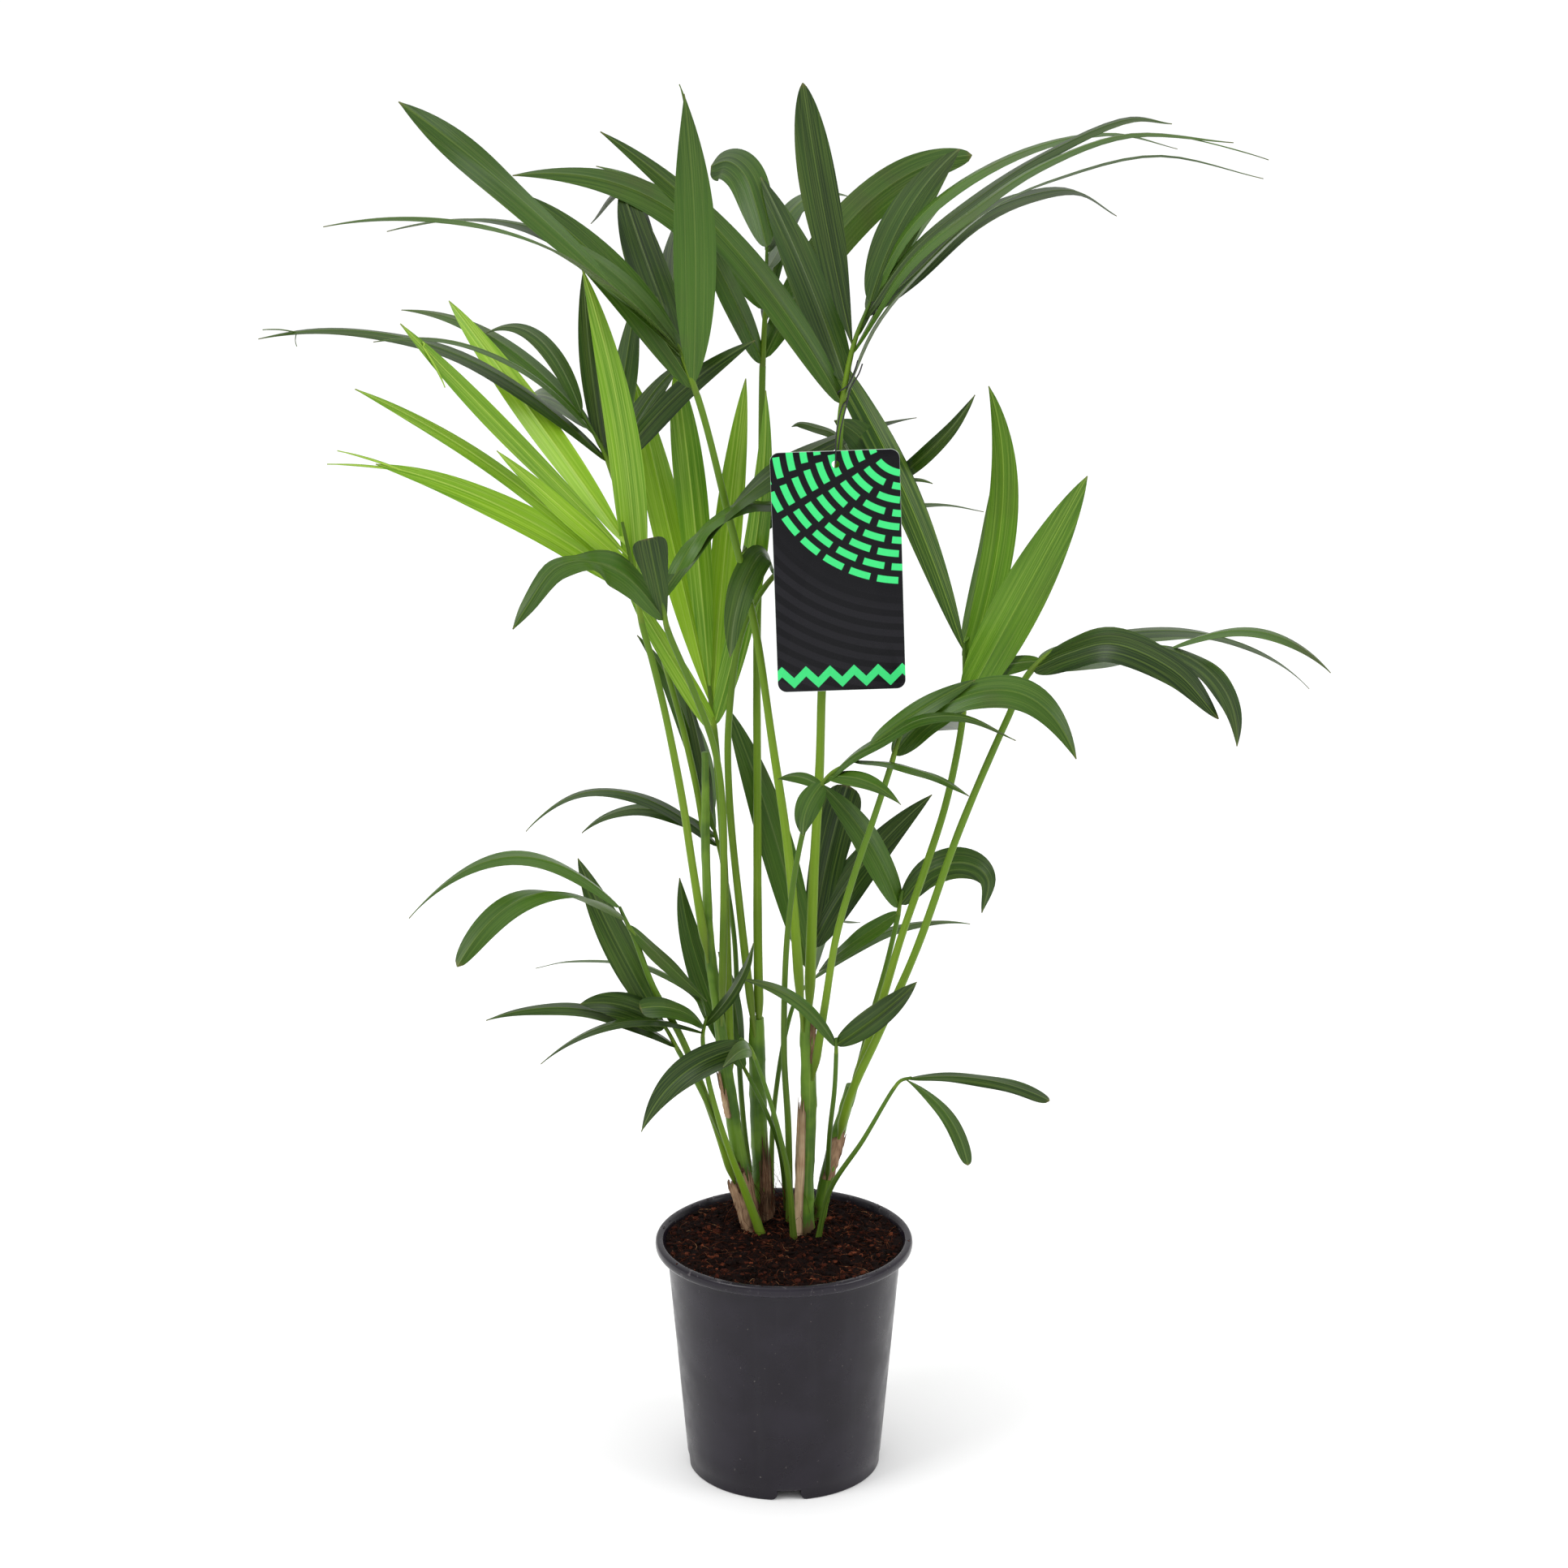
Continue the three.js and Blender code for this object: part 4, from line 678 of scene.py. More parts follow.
def add_blade(work, foot, row, chance, kind, tint):
    """Adds one leaflet, a flattened closed tube.

    At the share v (-1 to 1) of the half width, the blade lies beside the midrib by v half widths. It falls
    away from it by FOLD times |v|, with shallow pleats along its length and a slow wave towards its edges.
    """
    share = np.linspace(0, 1, BLADE_ROWS)
    share = 0.5 * share + 0.25 * (1 - np.cos(math.pi * share))
    line, ahead, face = midrib(foot, row, share)
    side = unit(np.cross(ahead, face))
    half = MM * np.maximum(row["wide"] / 2 * outline(row, share), 0.35)[:, None]
    column = np.linspace(-1, 1, BLADE_COLUMNS)
    across = np.concatenate([column[::-1], column])[None, :]
    upper = np.repeat([-1.0, 1.0], BLADE_COLUMNS)[None, :]
    beside = np.abs(across)
    pleats = PLEAT_DEPTH * np.cos(TURN * PLEATS * beside) * (1 - beside)
    phase = chance.uniform(0, 1, 2)
    swing = chance.uniform(0.03, 0.09)
    wave = swing * np.sin(TURN * (chance.uniform(1.2, 2.4) * share[:, None] + phase[0])) * beside**2
    sway = 0.05 * np.sin(TURN * (0.9 * share[:, None] + phase[1])) * across
    height = half * (wave + sway + pleats - FOLD * beside)
    ridge = (MIDRIB_THICKNESS - EDGE_THICKNESS) * np.exp(-((across * half / (MM * MIDRIB_REACH)) ** 2))
    height = height + upper * MM * (EDGE_THICKNESS + ridge) / 2
    rings = line[:, None] + side[:, None] * (across * half)[..., None] + face[:, None] * height[..., None]
    along = distances(line)[:, None] + np.zeros((1, 2 * BLADE_COLUMNS))
    spread = np.stack([along, across * half], -1)
    spread = np.concatenate([spread, spread[:, :1]], axis=1)
    work.add(rings, spread, kind, tint=tint, along=share[:, None], across=across, under=(1 - upper) / 2)
    for thread in row["threads"]:
        root = line[int(THREAD_START * BLADE_ROWS)]
        strand = leaf(1, thread, 1, THREAD_WIDTH, row["turn"])
        add_blade(work, root, strand, chance, kind, tint)


def frond_line(row, places):
    """The line of a frond's stalk and rib at places from 0 to 1."""
    return spline(sight(row["stalk"] + row["rib"]), places)


def joint_place(row):
    """The place on a frond's line where the stalk ends and the rib begins."""
    return (len(row["stalk"]) - 1) / (len(row["stalk"]) + len(row["rib"]) - 1)


def stalk_radius(row, share):
    """A stalk's radius in metres at a share of its length: swollen above its foot, which is drawn in to a
    point if the stalk grows from a stem and not from the soil."""
    foot, end = row["radii"]
    from_soil = sight([row["stalk"][0]])[0, 2] < MM * (SOIL_TOP + 2)
    drawn_in = 1 if from_soil else 0.25 + 0.75 * smooth(share, 0, 0.07)
    return MM * (foot + (end - foot) * share) * (1 + 0.35 * np.exp(-share * 16)) * drawn_in


def build_stalk(name, row, material):
    """A stalk: a limb with a shallow channel along its upper face, which starts a little inside its stem."""
    rows, around = 90, 20
    share = np.linspace(0, 1, rows)
    line = frond_line(row, share * joint_place(row))
    angle = np.arange(around) * TURN / around
    channel = 1 - 0.10 * np.exp(-(((angle - 0.5 * math.pi) / 0.5) ** 2))[None, :]
    uneven = 1 + 0.025 * ripples(line / MM, 45, 5, len(name))[:, None]
    radius = stalk_radius(row, share)[:, None] * channel * uneven
    work = Patchwork()
    chance = np.random.default_rng(len(name) * 7 + 1)
    # Thin stalks get a low tint and so a darker green: partly their own colour, partly painted shade, as they
    # grow low under the crown.
    work.add(round_rings(line, radius, around), tube_spread(line, radius, around),
             tint=0.65 * smooth(row["radii"][0], 1.9, 3.2) + chance.uniform(0, 0.35), along=share[:, None],
             across=0.0, under=row["young"])
    return work.piece(f"stalk_{name}", [material], "stalk", f"stalk_{name}")


def build_frond(name, row, leaf_material, rib_material, seed):
    """A frond: its rib, which starts a little inside the stalk and narrows evenly to its tip, and its
    leaflets, each of which grows from a place along the rib."""
    chance = np.random.default_rng(seed)
    joint = joint_place(row)
    rows, around = 30, 12
    share = np.linspace(0, 1, rows)
    start = joint - 0.004
    line = frond_line(row, start + (1 - start) * share)
    radius = MM * (row["radii"][1] * 0.98 + (RIB_TIP_RADIUS - row["radii"][1]) * share)[:, None]
    work = Patchwork()
    work.add(round_rings(line, radius, around), tube_spread(line, radius, around), kind=1,
             tint=0.5, along=share[:, None], across=0.0, under=row["young"])
    for leaflet in row["leaves"]:
        foot = frond_line(row, np.array([joint + (1 - joint) * leaflet["at"]]))[0]
        add_blade(work, foot, leaflet, chance, 0, chance.uniform(0, 1))
    slot = "leaf_young" if row["young"] else "leaf"
    return work.piece(f"leaves_{name}", [leaf_material, rib_material], slot, f"frond_{name}")


def stem_radius(row, share):
    """A stem's radius in metres at a share of its length, with the flare at its foot."""
    foot, end = row["radii"]
    return MM * (foot + (end - foot) * share + row["flare"] * np.exp(-12 * share))


def build_stem(name, row, material, seed):
    """A stem: a tube of the stem's radius with two sizes of ripples, and four shallow, slanted steps where
    the leaf sheaths end."""
    rows, around = 130, 32
    share = np.linspace(0, 1, rows)
    line = spline(sight(row["points"]), share)
    radius = stem_radius(row, share)[:, None] + np.zeros((1, around))
    angle = np.arange(around)[None, :] * TURN / around
    skin = np.stack([np.cos(angle) * 6 + 0 * share[:, None], np.sin(angle) * 6 + 0 * share[:, None],
                     line[:, 2:3] / MM * 0.25 + 0 * angle], -1)
    radius = radius + MM * (0.22 * ripples(skin, 9, 7, seed) + 0.12 * ripples(skin, 3, 7, seed + 1))
    for edge in (0.22, 0.41, 0.66, 0.85):
        slanted = share[:, None] + 0.03 * np.cos(angle + seed)
        radius = radius + MM * 0.35 * smooth(slanted, edge, edge + 0.012) * smooth(slanted, edge + 0.13, edge)
    work = Patchwork()
    work.add(round_rings(line, radius, around), tube_spread(line, radius, around),
             tint=(seed % 10) / 10, along=share[:, None], across=0.0)
    return work.piece(f"stem_{name}", [material], "stem", f"stem_{name}")


def add_sheath(work, row, seed):
    """Adds a torn sheath: a thin shell that follows its stem's skin between two heights and two angles.

    It stands off by `stand` times the square of the share of its height, its sides curl out, and its top edge
    is cut down by a ragged amount that differs from column to column.
    """
    chance = np.random.default_rng(seed)
    stem = STEMS[row["host"]]
    fine = np.linspace(0, 1, 400)
    heights = spline(sight(stem["points"]), fine)[:, 2] / MM
    rows, columns = 40, 22
    teeth = chance.uniform(0, 1, columns) ** 1.4 * row["ragged"]
    teeth = teeth + row["ragged"] * 0.8 * np.abs(np.linspace(-1, 1, columns)) ** 2
    rise = np.linspace(0, 1, rows)[:, None]
    height = row["low"] + (row["high"] - teeth[None, :] - row["low"]) * rise
    place = np.interp(height.ravel(), heights, fine)
    line = spline(sight(stem["points"]), place)
    ends = np.interp([row["low"], row["high"]], heights, fine)
    middle = spline(sight(stem["points"]), np.linspace(*ends, 60))
    right, back = limb_frame(middle)
    right, back = right.mean(axis=0), back.mean(axis=0)
    side = np.linspace(-1, 1, columns)[None, :]
    angle = np.radians(np.linspace(*row["angles"], columns))[None, :] + 0.05 * np.sin(9 * rise + seed)
    spots = np.stack([angle * 5, rise * 12 + 0 * side], -1)
    off = row["stand"] * rise**2 + row["side_curl"] * np.abs(side) ** 5 * (0.3 + rise) + 0.45
    off = off + 0.3 * ripples(spots, 3.0, 6, seed)
    radius = stem_radius(stem, place).reshape(rows, columns) + MM * np.maximum(off, 0.25)
    outward = np.cos(angle)[..., None] * right + np.sin(angle)[..., None] * back
    line = line.reshape(rows, columns, 3)
    inner = line + (radius - 0.3 * MM)[..., None] * outward
    outer = line + radius[..., None] * outward
    rings = np.concatenate([inner[:, ::-1], outer], axis=1)
    spread = MM * np.stack([height, 6 * angle], -1)
    spread = np.concatenate([spread[:, ::-1], spread, spread[:, -1:]], axis=1)
    work.add(rings, spread, tint=row["tint"], along=np.concatenate([rise + 0 * side] * 2, axis=1),
             across=np.concatenate([side[:, ::-1], side], axis=1) + 0 * rise)


# ---------------------------------------------------------------- pot, soil and tag


def wall_radius(height):
    """The pot wall's outer radius at a height, both in millimetres."""
    return FOOT_RADIUS + (WALL_TOP_RADIUS - FOOT_RADIUS) * height / LIP_FOOT


def notch_columns():
    """The angles at which the pot's columns stand, in degrees, and the height of the foot's lower edge there.

    The foot stands on the floor between the notches. At a notch its edge rises round a quarter circle, goes
    straight up, and runs level across the notch.
    """
    half = math.degrees(NOTCH_WIDTH / 2 / FOOT_RADIUS)
    corner = math.degrees(NOTCH_CORNER / FOOT_RADIUS)
    steps = np.array([0.0, 0.03, 0.12, 0.3, 0.6, 1.0])
    rounded = NOTCH_CORNER * (1 - np.sqrt(1 - (1 - steps) ** 2))
    across = np.linspace(-half, half, 6)
    pitch = 360 / NOTCH_COUNT
    foot = np.linspace(half + corner, pitch - half - corner, 24)[1:-1]
    rise = half + 0.02 + corner * steps
    turns = np.concatenate([across, rise, foot, pitch - rise[::-1]])
    edges = np.concatenate([np.full(6, FLOOR_BOTTOM), rounded, np.zeros(22), rounded[::-1]])
    starts = np.repeat(np.arange(NOTCH_COUNT) * pitch, len(turns))
    return np.tile(turns, NOTCH_COUNT) + starts + NOTCH_TURN - 90, np.tile(edges, NOTCH_COUNT)


def build_pot(material):
    """The pot: a closed profile turned round the upright axis, from the middle of its underside, over the
    foot, wall, rolled rim and inside, to the middle of its floor. The foot's height follows the notches."""
    turns, edges = notch_columns()
    inside = FOOT_RADIUS - FOOT_RING_WIDTH
    lip = [(84.0, 161.6), (86.8, 161.7), (88.6, 162.4), (89.6, 163.8), (RIM_RADIUS, 166), (89.8, 168.0),
           (89.2, 169.2), (88.2, 169.85), (86.6, POT_HEIGHT), (85.4, 169.7), (84.6, 169.0), (84.1, 167.6)]
    profile = [(0.5, 0), (HUB_RADIUS - 0.6, 0), (HUB_RADIUS, 0.6), (HUB_RADIUS, FLOOR_BOTTOM),
               (30, FLOOR_BOTTOM), (inside - 0.5, FLOOR_BOTTOM), (inside, FLOOR_BOTTOM - 0.5), (inside, 0),
               (inside + 0.6, 0), (FOOT_RADIUS - 0.8, 0), (FOOT_RADIUS - 0.1, 0.8),
               (wall_radius(8.6) - 0.35, 8.4), (wall_radius(9.4), 9.4)]
    profile += [(wall_radius(height), height) for height in (20, 45, 70, 95, 120, 140, 155, 160.5)]
    profile += [(WALL_TOP_RADIUS + 0.3, 161.4), (WALL_TOP_RADIUS + 1.0, 161.6)] + lip
    profile += [(wall_radius(height) - WALL, height) for height in (160, 120, 60, FLOOR_TOP + 2)]
    profile += [(wall_radius(FLOOR_TOP) - WALL - 2, FLOOR_TOP), (30, FLOOR_TOP), (0.5, FLOOR_TOP)]
    radius, height = np.array(profile).T
    height = height[:, None] + np.zeros((1, len(turns)))
    foot_rows = (radius[:, None] > inside - 0.2) & (height < FLOOR_BOTTOM - 0.1)
    lifted = edges[None, :] + height * (1 - edges[None, :] / FLOOR_BOTTOM)
    height = np.where(foot_rows, lifted, height)
    angle = np.radians(turns)[None, :]
    reach = radius[:, None] * (1 + 0.0012 * np.sin(2 * angle + 0.7) * smooth(height, 20, 150))
    rings = MM * np.stack([reach * np.cos(angle), reach * np.sin(angle), height], -1)
    along = np.concatenate([[0], np.cumsum(np.hypot(np.diff(radius), np.diff(height[:, 0])))])
    unrolled = np.append(turns, turns[0] + 360) / 360 * TURN * 75
    spread = MM * np.stack(np.broadcast_arrays(along[:, None], unrolled[None, :]), -1)
    work = Patchwork()
    work.add(rings, spread, along=height / POT_HEIGHT)
    pot = work.piece("pot_shell", [material], "pot", "pot", sharp=35)
    bore_drains(pot)
    return pot


def bore_drains(pot):
    """Cuts the drain holes through the pot's floor with upright round bars."""
    bars = Patchwork()
    for number in range(DRAIN_COUNT):
        angle = number / DRAIN_COUNT * TURN + math.radians(NOTCH_TURN - 90)
        middle = MM * DRAIN_CIRCLE * np.array([math.cos(angle), math.sin(angle), 0])
        line = middle + MM * np.linspace([0, 0, 4], [0, 0, 14], 3)
        bars.add(round_rings(line, MM * DRAIN_RADIUS, 24))
    cutter = bars.piece("drain_bars", [], "pot")
    cut = pot.modifiers.new("drains", "BOOLEAN")
    cut.operation = "DIFFERENCE"
    cut.solver = "EXACT"
    cut.object = cutter
    graph = bpy.context.evaluated_depsgraph_get()
    bored = bpy.data.meshes.new_from_object(pot.evaluated_get(graph), depsgraph=graph)
    pot.modifiers.clear()
    pot.data = bored
    bpy.data.objects.remove(cutter)


def soil_height(x, y):
    """The soil's surface in millimetres: level in the middle, falling to the wall, with clods and dips."""
    radius = np.hypot(x, y)
    fall = np.clip((radius - SOIL_FLAT_RADIUS) / (SOIL_RADIUS - SOIL_FLAT_RADIUS), 0, 1)
    spots = np.stack([x, y], -1)
    clods = 1.1 * ripples(spots, 26, 9, 3) + 1.0 * ripples(spots, 9, 12, 4) + 0.6 * ripples(spots, 4, 14, 5)
    return SOIL_TOP - 1.2 + (SOIL_EDGE - SOIL_TOP + 2.0) * fall**1.3 + clods * (1 - 0.65 * fall)


def build_soil(material):
    """The soil: rings from the middle of its underside out to the wall, up it, and back over the clods."""
    around, over = 220, 90
    angle = np.arange(around)[None, :] * TURN / around
    below = np.array([(0.6, FLOOR_TOP + 0.4), (wall_radius(FLOOR_TOP) - WALL - 3, FLOOR_TOP + 0.4)])
    wall = [(wall_radius(height) - WALL - 0.45, height) for height in (16, 60, 110, 160)]
    low = np.vstack([below, wall])
    radius = np.concatenate([low[:, 0], np.linspace(SOIL_RADIUS, 0.6, over)])[:, None]
    x = radius * np.cos(angle)
    y = radius * np.sin(angle)
    height = soil_height(x, y)
    height[:len(low)] = low[:, 1][:, None]
    rings = MM * np.stack([x, y, height], -1)
    spread = rings[..., :2]
    spread = np.concatenate([spread, spread[:, :1]], axis=1)
    work = Patchwork()
    work.add(rings, spread, tint=0.3)
    return work.piece("soil_mound", [material], "soil", "soil", sharp=60)


def build_crumbs(material, count, seed):
    """Crumbs of soil: small uneven lumps, each four rings of six points, strewn evenly over the soil, and the
    first few over the rim."""
    chance = np.random.default_rng(seed)
    reach = SOIL_RADIUS * np.sqrt(chance.uniform(0, 1, count)) * 0.985
    turn = chance.uniform(0, TURN, count)
    x, y = reach * np.cos(turn), reach * np.sin(turn)
    z = soil_height(x, y) + chance.uniform(-0.4, 0.5, count)
    size = 0.35 + 1.9 * chance.uniform(0, 1, count) ** 3
    on_rim = np.arange(count) < RIM_CRUMBS
    rim_turn = chance.uniform(0, TURN, count)
    rim_reach = chance.uniform(84.8, 88.4, count)
    x = np.where(on_rim, rim_reach * np.cos(rim_turn), x)
    y = np.where(on_rim, rim_reach * np.sin(rim_turn), y)
    z = np.where(on_rim, POT_HEIGHT - 0.05, z)
    size = np.where(on_rim, 0.25 + 0.4 * chance.uniform(0, 1, count) ** 2, size)
    rows, around = 4, 6
    lift = np.array([-0.9, -0.4, 0.45, 0.9])[None, :, None]
    swell = np.array([0.45, 1.0, 0.95, 0.4])[None, :, None]
    angle = (np.arange(around) * TURN / around)[None, None, :]
    uneven = chance.uniform(0.65, 1.25, (count, rows, around))
    stretch = chance.uniform(0.6, 1.5, (count, 3))
    lumps = np.stack([swell * np.cos(angle) * uneven * stretch[:, 0, None, None],
                      swell * np.sin(angle) * uneven * stretch[:, 1, None, None],
                      (lift + 0 * angle) * uneven * stretch[:, 2, None, None] * 0.7], -1)
    spin = chance.uniform(0, TURN, count)[:, None, None]
    turned = np.stack([lumps[..., 0] * np.cos(spin) - lumps[..., 1] * np.sin(spin),
                       lumps[..., 0] * np.sin(spin) + lumps[..., 1] * np.cos(spin), lumps[..., 2]], -1)
    middles = np.stack([x, y, z], -1)[:, None, None, :]
    rings = MM * (middles + size[:, None, None, None] * turned)
    work = Patchwork()
    work.add(rings, tint=chance.uniform(0, 1, count)[:, None, None] ** 2)
    return work.piece("soil_crumbs", [material], "soil", sharp=30)


def add_hairs(work, starts, ends, sag, radius, chance, tint):
    """Adds fibres: fine tubes that taper to both ends, bent from straight by a sag and a random curl."""
    count = len(starts)
    rows, around = 7, 4
    share = np.linspace(0, 1, rows)[None, :, None]
    arch = 4 * share * (1 - share)
    curl = chance.normal(size=(count, 1, 3)) * [1, 1, 0.15]
    wiggle = chance.normal(size=(count, 1, 3)) * [1, 1, 0.2]
    length = np.linalg.norm(ends - starts, axis=1)[:, None, None]
    lines = starts[:, None] * (1 - share) + ends[:, None] * share
    lines = lines + arch * curl * length * 0.14 + np.sin(TURN * share) * wiggle * length * 0.06
    lines[..., 2] += (arch * sag[:, None, None])[..., 0]
    ahead = unit(np.gradient(lines, axis=1))
    first = unit(np.cross(ahead, [0.31, 0.22, 0.92]))
    second = np.cross(ahead, first)
    thick = (radius[:, None] * (0.35 + 0.65 * arch[0, :, 0]))[..., None, None]
    rings = lines[:, :, None] + thick * circle(first, second, around)
    work.add(MM * rings, tint=tint[:, None, None], along=share)


def build_fibres(material, count, seed):
    """Coir fibres on the soil, and those at the feet of the stems."""
    chance = np.random.default_rng(seed)
    work = Patchwork()
    reach = SOIL_RADIUS * np.sqrt(chance.uniform(0, 1, count)) * 0.97
    turn = chance.uniform(0, TURN, count)
    x, y = reach * np.cos(turn), reach * np.sin(turn)
    heading = chance.uniform(0, TURN, count)
    length = 3 + 15 * chance.uniform(0, 1, count) ** 2
    far_x, far_y = x + length * np.cos(heading), y + length * np.sin(heading)
    shrink = np.minimum(1, SOIL_RADIUS * 0.985 / np.hypot(far_x, far_y))
    far_x, far_y = far_x * shrink, far_y * shrink
    lift = 0.35 + chance.uniform(0, 1, count) ** 4 * 3.5
    starts = np.stack([x, y, soil_height(x, y) + 0.2], -1)
    ends = np.stack([far_x, far_y, soil_height(far_x, far_y) + lift], -1)
    sag = chance.uniform(0, 1.6, count)
    tint = chance.uniform(0, 1, count)
    add_hairs(work, starts, ends, sag, 0.07 + 0.11 * chance.uniform(0, 1, count) ** 2, chance, tint)
    for host, hairs, spread_out in (("dark", 46, 16), ("left", 22, 11), ("middle", 14, 8)):
        foot = sight([STEMS[host]["points"][1]])[0] / MM
        turn = chance.uniform(0, TURN, hairs)
        near = STEMS[host]["radii"][0] + 0.8
        height = chance.uniform(-30, 12, hairs)
        starts = foot + np.stack([near * np.cos(turn), near * np.sin(turn), height], -1)
        reach = near + chance.uniform(1, spread_out, hairs)
        far_x, far_y = foot[0] + reach * np.cos(turn), foot[1] + reach * np.sin(turn)
        ends = np.stack([far_x, far_y, soil_height(far_x, far_y) + chance.uniform(0, 9, hairs)], -1)
        add_hairs(work, starts, ends, np.zeros(hairs), np.full(hairs, 0.14), chance,
                  chance.uniform(0.35, 0.95, hairs))
    return work.piece("soil_fibres", [material], "soil")


def tag_points(x, z):
    """Points of the tag's own sheet, in millimetres from its hole, as places in the scene."""
    tilt = math.radians(TAG_TILT)
    hole = sight([TAG_HOLE_PLACE])[0] / MM
    across = x * math.cos(tilt) - z * math.sin(tilt)
    up = x * math.sin(tilt) + z * math.cos(tilt)
    return hole + np.stack([across, 0 * across, up], -1)


def build_tag(material):
    """The card: rings from the front of its hole to its outline, over its edge, and back to the hole."""
    left, top = -TAG_HOLE_FROM_LEFT, TAG_HOLE_FROM_TOP
    middle_x, middle_z = left + TAG_WIDE / 2, top - TAG_TALL / 2
    corner = np.linspace(0, TURN / 4, 13)
    sides = []
    for number in range(4):
        angle = corner + number * TURN / 4
        sign_x = 1 if number in (0, 3) else -1
        sign_z = 1 if number in (0, 1) else -1
        x = middle_x + sign_x * (TAG_WIDE / 2 - TAG_CORNER) + TAG_CORNER * np.cos(angle)
        z = middle_z + sign_z * (TAG_TALL / 2 - TAG_CORNER) + TAG_CORNER * np.sin(angle)
        sides.append(np.stack([x, z], -1))
    outer = np.vstack([np.vstack([arc, np.linspace(arc[-1], following[0], 12)[1:-1]])
                       for arc, following in zip(sides, sides[1:] + sides[:1])])
    heading = unit(outer)
    inner = TAG_HOLE * heading
    inset = outer - 0.35 * unit(outer - np.array([middle_x, middle_z]))
    back = TAG_THICK / 2
    rows = [(inner, -back), (inset, -back), (outer, -back + 0.15), (outer, back - 0.15), (inset, back),
            (inner, back)]
    flat = np.stack([ring[::-1] for ring, _ in rows])
    rings = tag_points(flat[..., 0], flat[..., 1])
    rings[..., 1] += np.array([depth for _, depth in rows])[:, None]
    spread = MM * np.concatenate([flat, flat[:, :1]], axis=1)
    edge = np.array([0.0, 0.0, 1.0, 1.0, 0.0, 0.0])[:, None]
    work = Patchwork()
    work.add(MM * rings, spread, ends="joined", under=edge)
    return work.piece("tag_card_printed", [material], "tag", "tag_card", sharp=30)


def build_wire(material):
    """The wire: one tube of even thickness along a spline, through the hole and round the stalk."""
    hole = sight([TAG_HOLE_PLACE])[0] / MM
    clasp = sight([WIRE_CLASP])[0] / MM
    reach = 2.35 + WIRE_RADIUS + 0.35
    steps = [
        (clasp, 9.5, -6.5, 23), (clasp, 7, -5, 14), (clasp, 3, -reach - 1.2, 6), (clasp, -reach, -1.5, 1),
        (clasp, -1.5, reach, -2), (clasp, reach, 0.5, -4), (clasp, 0, -reach - 1, -7), (hole, 0.6, -2.2, 22),
        (hole, 0, -2, 8), (hole, 0, -1.3, 1.4), (hole, 0, 0, 0.6), (hole, 0.2, 1.6, 2.6),
        (hole, 1.6, 1.8, 10), (hole, 3.4, -1.2, 24), (clasp, 2.4, -reach - 2.6, -6),
        (clasp, 4.6, -reach - 3, 4), (clasp, 10.4, -8, 15), (clasp, 12.5, -7.5, 21),
    ]
    points = MM * np.array([base + np.array(shift) for base, *shift in steps])
    line = spline(points, np.linspace(0, 1, 260))
    ahead = directions(line)
    first = unit(np.cross(ahead, [0.93, 0.12, 0.34]))
    second = np.cross(ahead, first)
    rings = line[:, None] + MM * WIRE_RADIUS * circle(first, second, 10)
    work = Patchwork()
    work.add(rings)
    return work.piece("tag_wire_tube", [material], "wire", "tag_wire")


# ---------------------------------------------------------------- materials


def tone(red, green, blue):
    """A screen colour, 0 to 255, as the plain colour that a material takes."""
    return tuple(((part / 255 + 0.055) / 1.055) ** 2.4 if part > 10 else part / 255 / 12.92
                 for part in (red, green, blue)) + (1.0,)


